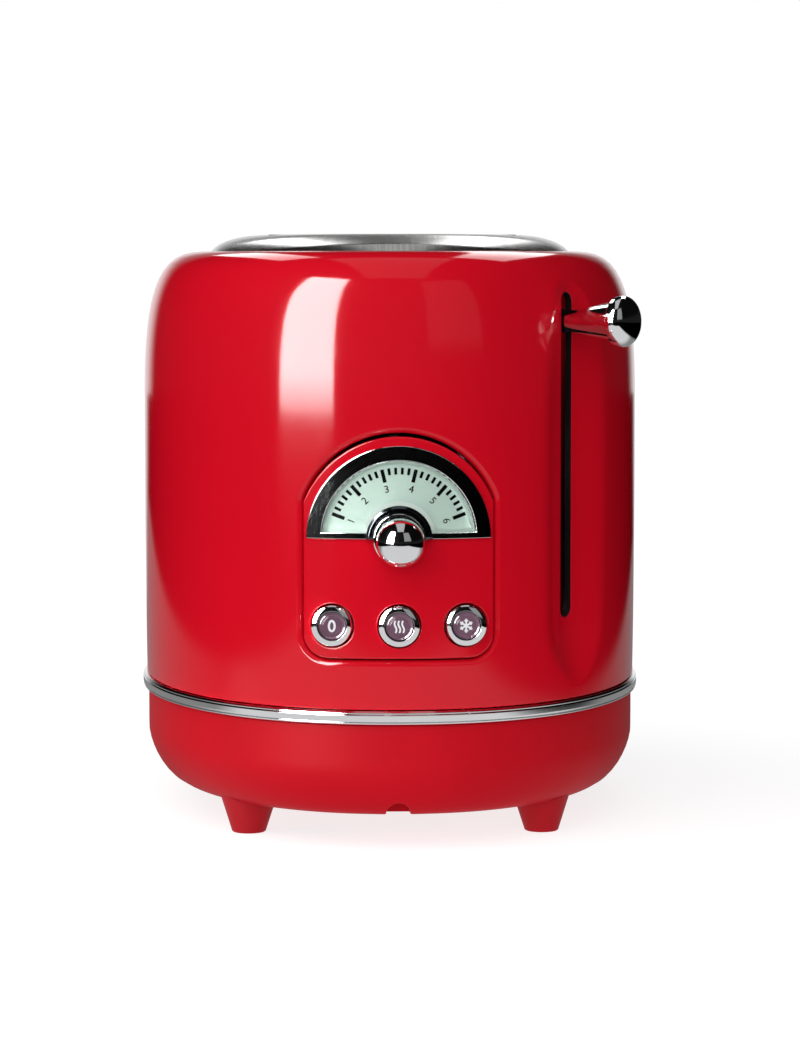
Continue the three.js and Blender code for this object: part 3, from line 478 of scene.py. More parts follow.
def surface_of(place, step=0.3):
    """Places, normals and two tangents from a function of flat points."""
    def surface(flat):
        flat = np.asarray(flat, float)
        across, up = (unit(place(flat + way) - place(flat - way)) for way in ((step, 0), (0, step)))
        return place(flat), unit(np.cross(across, up)), across, up

    return surface


def front_surface(out):
    """The curved front moved out, from x and height."""
    return surface_of(lambda flat: columns(flat[:, 0], -reach(flat[:, 0], out), flat[:, 1]))


def side_normals(loop, closed=True):
    """Unit vectors to the left of a loop's travel."""
    along = np.gradient(loop, axis=0)
    if closed:
        along = unit(np.roll(loop, -1, axis=0) - loop) + unit(loop - np.roll(loop, 1, axis=0))
    return unit(along)[:, ::-1] * MIRROR


def inside(points, loops):
    """Which points lie inside an odd number of loops."""
    result = np.zeros(len(points), bool)
    x, y = points[:, :1], points[:, 1:]
    for start in loops:
        end = np.roll(start, -1, axis=0)
        above = (start[:, 1] > y) != (end[:, 1] > y)
        rise = np.where(end[:, 1] == start[:, 1], 1, end[:, 1] - start[:, 1])
        cross = start[:, 0] + (y - start[:, 1]) / rise * (end - start)[:, 0]
        result ^= ((above & (x < cross)).sum(axis=1) % 2).astype(bool)
    return result


def lattice(low, high, spacing):
    """Flat points on a square grid."""
    axes = [linspace(a, b, max(2, int(round((b - a) / spacing)) + 1)) for a, b in zip(low, high)]
    return np.stack(np.meshgrid(*axes), axis=-1).reshape(-1, 2)


def arc(centre, radius, start, end, steps):
    """Flat points along an arc, without the last."""
    turns = linspace(start, end, steps, endpoint=False)
    return columns(centre[0] + radius * np.cos(turns), centre[1] + radius * np.sin(turns))


def line(start, end, spacing):
    """Flat points along a line, without the last."""
    start, end = array(start, float), array(end, float)
    steps = max(1, int(round(np.linalg.norm(end - start) / spacing)))
    return start + (end - start) * linspace(0, 1, steps, endpoint=False)[:, None]


def stadium(x0, x1, y0, y1, corner, spacing, steps=8):
    """An anticlockwise rectangle with round corners."""
    left, right, low, high = x0 + corner, x1 - corner, y0 + corner, y1 - corner
    return joined([
        line((left, y0), (right, y0), spacing), arc((right, low), corner, -QUARTER, 0, steps),
        line((x1, low), (x1, high), spacing), arc((right, high), corner, 0, QUARTER, steps),
        line((right, y1), (left, y1), spacing), arc((left, high), corner, QUARTER, pi, steps),
        line((x0, high), (x0, low), spacing), arc((left, low), corner, pi, 3 * QUARTER, steps),
    ])


def seamed_border(start, end, low, high, spacing, side_spacing=3):
    """Loop round a wall, with matching points at its seam."""
    side = line((end, low), (end, high), side_spacing)
    return joined([
        line((start, low), (end, low), spacing), side, line((end, high), (start, high), spacing),
        [[start, high]], side[:0:-1] * (0, 1) + (start, 0),
    ])


class Wall:
    """A shell round the oval; runs are distances along its profile."""

    def __init__(self, outs, heights, step, dent=lambda points: points):
        self.outs, self.heights, self.dent = outs, heights, dent
        self.runs = run_along(outs, heights)
        self.end = self.runs[-1]
        self.surface = surface_of(self.place, step)

    def out(self, run):
        """Distance out of the oval at a run."""
        return np.interp(run, self.runs, self.outs)

    def height(self, run):
        """Height at a run."""
        return np.interp(run, self.runs, self.heights)

    def at(self, height, values):
        """A profile's value at a height."""
        return np.interp(height, self.heights[1:], values[1:])

    def place(self, flat):
        """Points from runs round and along the profile."""
        x, y = oval(turn_at(flat[:, 0]), self.out(flat[:, 1]))
        return self.dent(columns(x, y, self.height(flat[:, 1])))

    def spread(self, loop, from_turn=-QUARTER, sign=1):
        """A loop of x and height as runs, round a turn."""
        along = self.at(loop[:, 1], self.runs)
        share = signed(loop[:, 0] / (HALF_WIDTH + self.out(along)), POWER / 2)
        return columns(run_at(from_turn + sign * np.arcsin(share)), along)


# Materials
WHITE = (1, 1, 1, 1)


def linear(red, green, blue):
    """A screen colour, 0 to 255, as a linear one."""
    shares = [value / 255 for value in (red, green, blue)]
    return *(share / 12.92 if share <= 0.04045 else ((share + 0.055) / 1.055) ** 2.4 for share in shares), 1


class Graph:
    """A node tree with short calls for its nodes."""

    def __init__(self, owner):
        owner.use_nodes = True
        self.nodes, self.links = owner.node_tree.nodes, owner.node_tree.links

    def feed(self, node, inputs):
        """Sets inputs to values, sockets or nodes."""
        for name, value in inputs.items():
            source = getattr(value, "outputs", [value])[0]
            if isinstance(source, bpy.types.NodeSocket):
                self.links.new(source, node.inputs[name])
            else:
                node.inputs[name].default_value = value

    def add(self, kind, inputs={}, **settings):
        """A new node with its settings and inputs."""
        node = self.nodes.new("ShaderNode" + kind)
        for name, value in settings.items():
            setattr(node, name, value)
        self.feed(node, inputs)
        return node

    def axes(self):
        """The object's own coordinates, one by one."""
        return self.add("SeparateXYZ", {"Vector": self.add("TexCoord").outputs["Object"]}).outputs

    def noise(self, scale, stretch=(1, 1, 1)):
        """Noise, in cycles for each metre of the object."""
        mapping = self.add("Mapping", {"Vector": self.add("TexCoord").outputs["Object"], "Scale": stretch})
        return self.add("TexNoise", {"Vector": mapping, "Scale": scale, "Detail": 3})

    def tones(self, field, first, second):
        """Colour that wanders between two tones."""
        ramp = self.add("ValToRGB", {"Fac": field})
        for element, position, color in zip(ramp.color_ramp.elements, (0.35, 0.65), (first, second)):
            element.position, element.color = position, color
        return ramp

    def change(self, value, low, high, first, last, kind="SMOOTHSTEP"):
        """First to last while a value runs from low to high."""
        return self.add("MapRange", {"Value": value, "From Min": low, "From Max": high,
                                     "To Min": first, "To Max": last}, interpolation_type=kind)

    def math(self, operation, first, *others):
        """Values combined one after another."""
        for other in others:
            first = self.add("Math", {0: first, 1: other}, operation=operation)
        return first

    def mix(self, share, first, second):
        """Two shaders mixed by a share."""
        return self.add("MixShader", {"Fac": share, 1: first, 2: second})


def look(name, color, roughness, metallic, scale, wander, spread, grain, relief, depth,
         stretch=(1, 1, 1), specular=0.5, coat=0, brushing=0):
    """Slow colour change, uneven roughness and a fine grain."""
    material = bpy.data.materials.new(name)
    graph = Graph(material)
    slow, fine = graph.noise(scale, stretch), graph.noise(grain, stretch)
    darker, lighter = ((*(channel * share for channel in color[:3]), 1) for share in (1 - wander, 1 + wander))
    shader = graph.nodes["Principled BSDF"]
    graph.feed(shader, {
        "Metallic": metallic, "Coat Weight": coat, "Specular IOR Level": specular, "Anisotropic": brushing,
        "Base Color": graph.tones(slow, darker, lighter),
        "Roughness": graph.change(fine, 0, 1, roughness - spread, roughness + spread, "LINEAR"),
        "Normal": graph.add("Bump", {"Strength": relief, "Distance": depth * MICRON, "Height": fine}),
    })
    if brushing:
        graph.feed(shader, {"Tangent": graph.add("CombineXYZ", {"X": 1})})
    return material


def clear_plastic():
    """Clear cover whose sheen grows at the edge."""
    material = bpy.data.materials.new("clear_dial_cover")
    graph = Graph(material)
    shader = graph.nodes["Principled BSDF"]
    graph.feed(shader, {"Metallic": 1, "Base Color": (0.9, 0.95, 0.93, 1),
                        "Roughness": graph.change(graph.noise(500), 0, 1, 0.02, 0.07, "LINEAR")})
    through = graph.add("BsdfTransparent", {"Color": (0.95, 0.975, 0.965, 1)})
    seen = graph.mix(graph.add("Fresnel", {"IOR": 1.3}), through, shader)
    graph.feed(graph.nodes["Material Output"], {"Surface": seen})
    return material


# Name, colour, roughness, metallic, scale, wander, spread, grain, relief and depth in micrometres
PAINT = look("gloss_red_enamel", linear(208, 13, 33),
    0.09, 0, 9, 0.02, 0.02, 260, 0.03, 10, specular=0.36)
SATIN = look("satin_red_plastic", linear(198, 13, 30),
    0.42, 0, 40, 0.03, 0.05, 1500, 0.12, 20, specular=0.06)
RUBBER = look("satin_red_rubber", linear(182, 13, 28),
    0.5, 0, 90, 0.05, 0.05, 1800, 0.15, 30, specular=0.15)
CHROME = look("mirror_chrome", (0.82, 0.83, 0.84), 0.06, 1, 50, 0.02, 0.02, 500, 0.03, 10)
DARK_CHROME = look("dark_chrome", (0.09, 0.10, 0.11), 0.10, 1, 50, 0.05, 0.02, 500, 0.03, 10)
BRUSHED = look("brushed_steel", (0.62, 0.62, 0.61),
    0.21, 1, 22, 0.10, 0.02, 40, 0.06, 10, (60, 2, 2), brushing=0.9)
DIAL_WHITE = look("mint_white_print", linear(238, 252, 243),
    0.45, 0, 30, 0.015, 0.04, 900, 0.05, 30)
DIAL_INK = look("dark_scale_ink", linear(6, 8, 8),
    0.5, 0, 300, 0.1, 0.05, 1500, 0.1, 30, specular=0.1)
LENS_TINT = look("smoked_button_lens", linear(112, 80, 98),
    0.12, 0, 160, 0.12, 0.04, 900, 0.06, 30, coat=0.6)
SYMBOL_INK = look("pale_symbol_ink", linear(232, 232, 236),
    0.45, 0, 400, 0.03, 0.05, 1500, 0.1, 30)
ZINC = look("zinc_plated_steel", (0.52, 0.53, 0.54), 0.38, 1, 120, 0.15, 0.10, 420, 0.2, 20)
DARK_STEEL = look("blackened_steel", (0.035, 0.035, 0.037),
    0.45, 1, 120, 0.2, 0.08, 420, 0.2, 20)
WIRE = look("nickel_wire", (0.55, 0.54, 0.52), 0.26, 1, 200, 0.12, 0.08, 600, 0.1, 30)
MICA = look("mica_sheet", linear(184, 170, 142), 0.6, 0, 55, 0.18, 0.12, 300, 0.25, 40)
BOARD = look("board_green", linear(38, 82, 54), 0.5, 0, 90, 0.1, 0.06, 900, 0.1, 30)
BLACK = look("black_moulding", linear(22, 22, 24), 0.45, 0, 120, 0.15, 0.08, 1100, 0.1, 30)
COPPER = look("enamelled_copper", (0.45, 0.16, 0.06),
    0.35, 1, 40, 0.12, 0.08, 60, 0.8, 100, (1, 1, 30))
CLEAR = clear_plastic()

# The lever's frame on the casing
LEVER_OUT = array([sin(LEVER_ANGLE), -cos(LEVER_ANGLE)])
LEVER_ALONG = array([cos(LEVER_ANGLE), sin(LEVER_ANGLE)])
LEVER_TURN = -atan((tan(LEVER_ANGLE) * HALF_WIDTH / HALF_LENGTH) ** (-1 / (2 - 2 / POWER)))
LEVER_PLACE = array(oval(LEVER_TURN, 0))
LEVER_TURNS = linspace(LEVER_TURN - 0.4, LEVER_TURN + 0.4, 2000)
LEVER_WALL = (columns(*oval(LEVER_TURNS, 0)) - LEVER_PLACE) @ columns(LEVER_ALONG, LEVER_OUT)


def scooped(points):
    """Presses the lever's recess into the casing's points."""
    offsets = points[:, :2] - LEVER_PLACE
    out, along = offsets @ LEVER_OUT, offsets @ LEVER_ALONG
    turn = np.arccos(1 - np.clip((points[:, 2] - SCOOP_BOTTOM) / SCOOP_TOE, 0, 1))
    width = np.maximum(SCOOP_HALF * np.sin(turn), 0.001)
    hollow = (1 + np.cos(pi * np.clip(along / width, -1, 1))) / 2
    depth = SCOOP_DEPTH * np.sin(turn) ** 2 * hollow
    excess = out - (np.interp(along, *LEVER_WALL.T) - depth)
    push = np.sqrt(excess ** 2 + SCOOP_SOFTNESS ** 2) - SCOOP_SOFTNESS
    near = (np.abs(along) < SCOOP_HALF) & (out > -SHOULDER_WIDTH) & (excess > 0) & (depth > 0)
    moved = points.copy()
    moved[:, :2] -= np.where(near, push, 0)[:, None] * LEVER_OUT
    return moved


def quarter_oval(turns, width, height, power):
    """Insets and drops along a rounded quarter."""
    return width * (1 - np.cos(turns) ** (2 / power)), height * np.sin(turns) ** (2 / power)


def casing_wall(steps=3000):
    """The casing from its lower edge to the land under the collar."""
    shoulder_start = CASING_TOP - SHOULDER_HEIGHT
    belly = linspace(CASING_BOTTOM, shoulder_start, 200)
    share = np.clip(1 - (belly - CASING_BOTTOM) / BELLY_RISE, 0, 1)
    even = linspace(0, 1, steps)
    turns = QUARTER * even ** 3 / (even ** 3 + (1 - even) ** 3)
    inset, rise = quarter_oval(turns, SHOULDER_WIDTH, SHOULDER_HEIGHT, SHOULDER_POWER)
    land = linspace(0, CASING_LAND, 40)[1:]
    insets = joined([BELLY_INSET * share ** 2, inset[1:], SHOULDER_WIDTH + land])
    heights = joined([belly, shoulder_start + rise[1:], np.full_like(land, CASING_TOP)])
    return Wall(-insets, heights, 0.35, scooped)


CASING = casing_wall()


def on_casing_lever(loop):
    """A loop of distance along the lever's wall and height, as runs."""
    along, runs = CASING.at(loop[:, 1], CASING.runs), run_at(LEVER_TURNS)
    return columns([
        np.interp(distance, (columns(*oval(LEVER_TURNS, out)) - LEVER_PLACE) @ LEVER_ALONG, runs)
        for distance, out in zip(loop[:, 0], CASING.out(along))
    ], along)


def panel_outline(margin, top_gap=0.0, spacing=1.5):
    """Straight sides, round lower corners and a low arch."""
    side, bottom = PANEL_HALF + margin, PANEL_BOTTOM - margin
    corner, radius = PANEL_CORNER + margin, ARCH_RADIUS + margin
    inner, low = side - corner, bottom + corner
    centre = PANEL_TOP - top_gap - ARCH_RADIUS
    turn = acos(side / radius)
    top = centre + radius * sin(turn)
    steps = int(radius * (pi - 2 * turn) / spacing)
    return joined([
        line((-inner, bottom), (inner, bottom), spacing), arc((inner, low), corner, -QUARTER, 0, 10),
        line((side, low), (side, top), spacing), arc((0, centre), radius, turn, pi - turn, steps),
        line((-side, top), (-side, low), spacing), arc((-inner, low), corner, pi, 3 * QUARTER, 10),
    ])


def make_casing():
    """Painted shell with its openings."""
    half = SLIT_WIDTH / 2
    slot = on_casing_lever(stadium(-half, half, CASING_BOTTOM + SLIT_RISE,
                                   CASING_TOP - SLIT_DROP, half * 0.999, 1.4, 7))[::-1]
    lever_run, side = run_at(LEVER_TURN), SCOOP_HALF + 5
    fine = ((lever_run - side, CASING.at(SCOOP_BOTTOM, CASING.runs) - 3),
            (lever_run + side, CASING.end - 8), 1.7)
    skin = Skin().plate(CASING.surface, 3.2, CASING_WALL, [
        (CASING.spread(panel_outline(PANEL_GAP))[::-1], PANEL_SEAT_ROLL, PANEL_SEAT_ROLL + 1.2, 6),
        (slot, SLIT_ROLL, SLIT_ROLL + 0.8, 5),
    ], [seamed_border(-ROUND / 2, ROUND / 2, CASING_LIP, CASING.end - CASING_LIP, 3)], fine)
    lower = joined([line((-ROUND / 2, 0), (ROUND / 2, 0), 3), [[ROUND / 2, 0]]])
    for edge in (lower, lower[::-1] * (1, 0) + (0, CASING.end)):
        skin.rim(CASING.surface, edge, CASING_LIP, CASING_WALL, CASING_WALL, closed=False)
    # A black sheet in the slot paints the shade of its walls
    make_slot_shade_sheet(slot)
    skin.finish("casing_shell", PAINT, "casing")


def make_slot_shade_sheet(hole):
    """Black sheet inside the lever's slot: painted shade over the slot's walls."""
    place, out, across, up = CASING.surface(hole)
    side = flank(across, up, side_normals(hole))
    place, out, side = (joined([part, part[:1]]) for part in (place, out, side))
    inner, outer = 0.1, -0.04
    corners = [(inner, SHADE_SHEET_TOP), (inner, SHADE_SHEET_DEPTH), (outer, SHADE_SHEET_DEPTH), (outer, SHADE_SHEET_TOP)]
    skin = Skin().sweep(rounded([*corners, corners[0]]), lambda spot, normal: (
        place + side * spot[0] - out * spot[1], side * normal[0] - out * normal[1]))
    skin.finish("lever_slot_painted_shade", BLACK)


def make_band():
    """Trim ring: an upper lip, a face and a groove over a thin lower lip."""
    face, top = BAND_PROUD, BAND_TOP - BAND_BOTTOM
    corners = [
        (-BAND_WALL, 0), (face - 0.8, 0, 0.3), (face - 0.15, 0.35, 0.3), (face - 0.15, 0.75, 0.1),
        (face - 0.45, 0.9, 0.08), (face - 0.1, 1.1, 0.12), (face, 1.6, 0.3), (face, top - 1.3, 0.3),
        (face - 0.4, top - 1.0, 0.15), (face - 0.35, top - 0.6, 0.2), (face - 1.2, top, 0.5),
        (-BAND_WALL, top), (-BAND_WALL, 0),
    ]
    profile = rounded([(out, BAND_BOTTOM + rise, *radius) for out, rise, *radius in corners])
    Skin().sweep(profile, oval_ring).finish("chrome_trim_band", CHROME, "chrome_band")


def bowl_points(steps=24):
    """Distance out and height from the bowl's floor to its wall."""
    inset, drop = quarter_oval(linspace(QUARTER, 0, steps), BOWL_WIDTH, BOWL_HEIGHT, BOWL_POWER)
    return columns(-BASE_INSET - inset, BASE_BOTTOM + BOWL_HEIGHT - drop)


BOWL = Wall(*joined([
    [[-BOWL_FLOOR_INSET, BASE_BOTTOM]], bowl_points(), [[-BASE_INSET, BASE_TOP - BASE_LIP]]]).T, 0.4)


def tray_loop(gap):
    """The crumb tray's outline on the back of the bowl."""
    half = TRAY_HALF + gap
    loop = stadium(-half, half, TRAY_BOTTOM - gap, TRAY_TOP + gap, 1 + gap, 1.5, 4)
    return BOWL.spread(loop * MIRROR, -QUARTER - pi, -1)[::-1]


def notch_loop():
    """The clockwise cord notch, and its highest run."""
    along = linspace(0, BOWL.end, 4000)
    lift = BOWL.height(along) - BASE_BOTTOM + NOTCH_DIP
    open_run = along[(-HALF_LENGTH - BOWL.out(along) <= NOTCH_END) & (lift < NOTCH_RADIUS)]
    start, top = open_run[0], open_run[-1]
    rows = start + (top - start) * (1 - (1 - linspace(0, 1, 26)) ** 2)
    lifts = BOWL.height(rows) - BASE_BOTTOM + NOTCH_DIP
    half = np.sqrt(np.maximum(NOTCH_RADIUS ** 2 - lifts ** 2, 0))
    right = columns(half, rows)[:-1]
    sill = line((-half[0], start), (half[0], start), 1.2)[1:]
    return joined([sill, right, [[0, top]], right[::-1] * MIRROR])[::-1], top


def make_base():
    """Bowl with the cord notch, the tray window and the floor's openings."""
    notch, notch_top = notch_loop()
    start, end = -0.75 * ROUND, 0.25 * ROUND
    skin = Skin().plate(BOWL.surface, 2.6, BASE_WALL, [
        (notch, 0.5, BASE_WALL, 3), (tray_loop(0.3)[::-1], 0.4, BASE_WALL, 3),
    ], [seamed_border(start, end, 0, BOWL.end, 4)], ((-8, 4), (8, notch_top + 4), 1.2))
    outer, inner, low = -BASE_INSET, -BASE_INSET - BASE_WALL, BASE_TOP - BASE_LIP
    lip = rounded([(outer, low), (outer, BASE_TOP, 0.39), (inner, BASE_TOP), (inner, low)], 3)
    skin.sweep(lip, oval_ring)
    half = VENT_WIDTH / 2
    vents = [stadium(x - half, x + half, FOOT_SPREAD_Y - VENT_LENGTH, FOOT_SPREAD_Y, half * 0.9, 3, 4)[::-1]
             for x in (np.arange(VENT_COUNT) - (VENT_COUNT - 1) / 2) * VENT_PITCH]
    inlet = arc(INLET_PLACE, INLET_RADIUS, TAU, 0, 32)
    edge = BOWL.place(line((start, 0), (end, 0), 4))[::-1, :2] * (1, -1)
    skin.plate(surface_of(lambda flat: columns(flat[:, 0], -flat[:, 1], BASE_BOTTOM)), 6, BASE_WALL,
               [(hole, 0.3, BASE_WALL, 3) for hole in (*vents, inlet)], [edge])
    cord_hood(skin)
    skin.finish("base_bowl", SATIN, "base")


def cord_hood(skin):
    """The half tunnel over the cord notch."""
    turns = linspace(0, pi, 17)
    cosine, sine = np.cos(turns), np.sin(turns)
    for margin, sign in ((0, -1), (BASE_WALL, 1)):
        radius = NOTCH_RADIUS + margin
        start = -HALF_LENGTH - BOWL.at(BASE_BOTTOM + radius * sine, BOWL.outs) + BASE_WALL / 2
        height = BASE_BOTTOM - NOTCH_DIP * (1 - sine) + radius * sine
        rows = [columns(radius * cosine, y, height) for y in (start, NOTCH_END + margin)]
        skin.grid(rows[::-sign], [columns(cosine, 0, sine) * sign] * 2)
        skin.add(rows[1], [(0, sign, 0)] * len(turns), [range(len(turns))[::-sign]])


def bowl_reach(x, height):
    """The bowl's reach at a place across it and a height."""
    return reach(x, BOWL.at(height, BOWL.outs))


def make_crumb_tray():
    """A curved front with a finger lip, and a shallow pan."""
    low, high = (array(corner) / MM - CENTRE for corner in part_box("crumb_tray"))
    lip = TRAY_HALF / 2
    face = Skin().plate(BOWL.surface, 2.4, BASE_WALL, [(tray_loop(0), 0.4, BASE_WALL, 5)])
    face.box((-lip, bowl_reach(lip, high[2]) - BASE_WALL, high[2] - TRAY_LIP_WALL), (lip, high[1], high[2]))
    face.finish("crumb_tray_front", SATIN, body="crumb_tray")
    half, floor, top = TRAY_HALF - 0.4, low[2], low[2] + TRAY_RIM
    inner, sole = half - TRAY_WALL, floor + TRAY_WALL
    side = rounded([
        *line((0, floor), (half - 1, floor), 4), (half, floor, 1), (half, top, 0.2), (inner, top, 0.2),
        (inner, sole, 1), *line((inner - 1, sole), (0, sole), 4)[1:], (0, sole),
    ])

    def row(spot, normal, count=12):
        rear = bowl_reach(*spot) - BASE_WALL - 0.2
        along = linspace(low[1] + TRAY_WALL / 2, rear, count)
        return columns(spot[0], along, spot[1]), np.tile((normal[0], 0, normal[1]), (count, 1))

    pan = Skin().sweep(side + [(spot * MIRROR, normal * MIRROR) for spot, normal in side[::-1]], row)
    pan.box((-half, low[1], floor), (half, low[1] + TRAY_WALL, top))
    pan.finish("crumb_tray_pan", ZINC, "crumb_tray", body="crumb_tray")


def make_collar():
    """Rounded edge, flat top and rolled slot lips."""
    height = COLLAR_TOP - COLLAR_BOTTOM
    edge = [(-COLLAR_INSET - COLLAR_EDGE * (1 - cos(turn)), COLLAR_BOTTOM + height * sin(turn), None)
            for turn in linspace(0, QUARTER, 14)[1:]]
    foot = (-COLLAR_INSET - COLLAR_WALL, COLLAR_BOTTOM)
    under = [(out - COLLAR_WALL, max(level - COLLAR_WALL, COLLAR_BOTTOM), None)
             for out, level, _ in edge[-2::-1]]
    top_out = -COLLAR_INSET - COLLAR_EDGE
    skin = Skin().sweep(rounded([foot, (-COLLAR_INSET, COLLAR_BOTTOM, 0.25), *edge], 3), oval_ring)
    skin.sweep(rounded([(top_out, COLLAR_TOP - COLLAR_WALL), *under, foot]), oval_ring)
    run = linspace(-ROUND / 2, ROUND / 2, RING_STEPS, endpoint=False)
    inner, outer, half = BREAD_BRIDGE / 2, BREAD_BRIDGE / 2 + BREAD_WIDTH, BREAD_LENGTH / 2
    slots = [stadium(*sides, BREAD_SET_BACK - half, BREAD_SET_BACK + half, BREAD_CORNER, 3)[::-1]
             for sides in ((-outer, -inner), (inner, outer))]
    skin.plate(surface_of(lambda flat: columns(flat[:, 0], flat[:, 1], COLLAR_TOP)), 3.5, COLLAR_WALL,
               [(slot, SLOT_ROLL, SLOT_LIP_DEPTH, 5) for slot in slots],
               [columns(*oval(turn_at(run), top_out))])
    skin.finish("brushed_slot_collar", BRUSHED, "slot_collar")


def bowl_level(points):
    """Height of the bowl's outside over the floor."""
    low, high = np.zeros(len(points)), np.full(len(points), BOWL_FLOOR_INSET + 20.0)
    for _ in range(30):
        inset = (low + high) / 2
        within = (np.abs(points[:, 0]) / (HALF_WIDTH - inset)) ** POWER
        within += (np.abs(points[:, 1]) / (HALF_LENGTH - inset)) ** POWER
        low, high = np.where(within < 1, inset, low), np.where(within < 1, high, inset)
    return np.interp(-low, *bowl_points(60).T)


def make_feet():
    """Tapered feet with a round tip."""
    for name in ("foot_front_left", "foot_front_right", "foot_rear_left", "foot_rear_right"):
        height = span(name, 2)[1]
        skin = turned([
            (FOOT_POCKET_RADIUS, FOOT_POCKET), (FOOT_POCKET_RADIUS, 0, 0.3), (FOOT_TIP_RADIUS, 0, 0.9),
            (FOOT_TOP_RADIUS, height, 0.3), (FOOT_BORE_RADIUS, height), (FOOT_BORE_RADIUS, FOOT_POCKET),
            (FOOT_POCKET_RADIUS, FOOT_POCKET),
        ], 48)
        skin.move(np.eye(3), array([middle(name, 0), middle(name, 1), 0]) - CENTRE)
        for points in skin.points:
            top = points[:, 2] > height - 0.5
            points[top, 2] = np.maximum(points[top, 2], bowl_level(points[top]))
        skin.finish(f"tapered_{name}", RUBBER, name)


def half_disc(radius, spacing=1.5):
    """Anticlockwise half disc above the dial's centre."""
    return joined([arc((0, DIAL_CENTRE), radius, 0, pi, int(pi * radius / spacing)),
                   line((-radius, DIAL_CENTRE), (radius, DIAL_CENTRE), spacing)])


def make_panel():
    """Curved plate with the dial's and buttons' openings."""
    radius = BUTTON_RADIUS + BUTTON_HOLE_GAP
    skin = Skin().plate(front_surface(0), 2.2, PANEL_WALL, [
        (panel_outline(0, PANEL_TOP_GAP), PANEL_ROLL, PANEL_WALL, 5),
        (half_disc(OPENING_RADIUS)[::-1], 0.3, PANEL_WALL, 4),
        *((arc((x, BUTTON_CENTRE), radius, TAU, 0, 48), 0.5, PANEL_WALL, 4)
          for x in (-BUTTON_PITCH, 0, BUTTON_PITCH)),
    ])
    skin.finish("control_panel_plate", PAINT, "control_panel")


def bezel_ring(part):
    """Rows of the bezel's arc, or of its sill, which rises from the dial's centre line to the window."""
    def ring(spot, normal):
        radius, out_by = spot
        share = (BEZEL_RADIUS - radius) / (BEZEL_RADIUS - WINDOW_RADIUS)
        sill = BEZEL_SILL * max(share, 0)
        turn = asin(sill / radius)
        if part == "arc":
            turns = linspace(turn, pi - turn, 97)
            side = columns(np.cos(turns), np.sin(turns))
            flat = radius * side + (0, DIAL_CENTRE)
        else:
            end = radius * cos(turn)
            side = array([[0, -1]])
            flat = columns(linspace(-end, end, 41), DIAL_CENTRE + sill)
        place, out, across, up = front_surface(out_by)(flat)
        return place, flank(across, up, side) * normal[0] + out * normal[1]

    return ring


def make_bezel():
    """Half ring with a broad face that drops to the window."""
    seat = (BEZEL_RADIUS - 0.2, BEZEL_SEAT)
    profile = rounded([
        seat, (BEZEL_RADIUS, BEZEL_SEAT, 0.1), (BEZEL_RADIUS, BEZEL_PROUD, 0.35),
        (WINDOW_RADIUS + 0.4, BEZEL_PROUD, 0.35), (WINDOW_RADIUS, BEZEL_PROUD - 1.2, 0.1),
        (WINDOW_RADIUS, BEZEL_BACK, 0.1), (OPENING_RADIUS - 0.4, BEZEL_BACK, 0.1),
        (OPENING_RADIUS - 0.4, BEZEL_SEAT), seat,
    ])
    skin = Skin().sweep(profile, bezel_ring("arc")).sweep(profile, bezel_ring("sill"))
    skin.finish("dial_bezel_ring", CHROME, "dial_bezel")


def dial_spot(turn, radius):
    """A place on the dial at a turn from straight up."""
    return array([radius * sin(turn), DIAL_CENTRE + radius * cos(turn)])


def make_dial():
    """White plate, printed with numbered strokes and short ones between."""
    surface = front_surface(-DIAL_DEPTH)
    plate = Skin().plate(surface, 2.4, PLATE_WALL, [(half_disc(PLATE_RADIUS), 0.15, PLATE_WALL, 5)])
    plate.finish("dial_scale_plate", DIAL_WHITE, "dial_plate")
    skin = Skin()
    count = (SCALE_NUMBERS - 1) * SCALE_PARTS
    for step in range(count + 1):
        turn = SCALE_TURN * (2 * step / count - 1)
        start, half = SCALE_MINOR if step % SCALE_PARTS else SCALE_MAJOR
        stroke = [dial_spot(turn, radius) for radius in linspace(start, SCALE_RADIUS, 5)]
        skin.ribbon(surface, stroke, half)
    for number in range(SCALE_NUMBERS):
        turn = SCALE_TURN * (2 * number / (SCALE_NUMBERS - 1) - 1)
        points, faces = numeral(str(number + 1))
        flat = points[:, :2] @ [[cos(turn), -sin(turn)], [sin(turn), cos(turn)]]
        place, out, _, _ = surface(flat + dial_spot(turn, NUMERAL_RADIUS))
        place = place + out * (points[:, 2:] + PRINT_WALL / 2)
        for face in faces:
            corners = place[face]
            normal = unit(np.cross(corners[1] - corners[0], corners[2] - corners[0]))
            skin.add(corners, [normal] * len(face), [range(len(face))])
    skin.finish("dial_scale_print", DIAL_INK)


def numeral(character):
    """Points and faces of a centred digit."""
    curve = bpy.data.curves.new("digit", "FONT")
    curve.body = character
    curve.size = NUMERAL_HEIGHT / DIGIT_SHARE
    curve.extrude = PRINT_WALL / 2
    curve.resolution_u = 4
    digit = new_object("digit", curve)
    mesh = digit.evaluated_get(bpy.context.evaluated_depsgraph_get()).to_mesh()
    points = array([tuple(vertex.co) for vertex in mesh.vertices])
    faces = [list(polygon.vertices) for polygon in mesh.polygons]
    points[:, :2] -= (points[:, :2].max(axis=0) + points[:, :2].min(axis=0)) / 2
    bpy.data.objects.remove(digit)
    bpy.data.curves.remove(curve)
    return points, faces


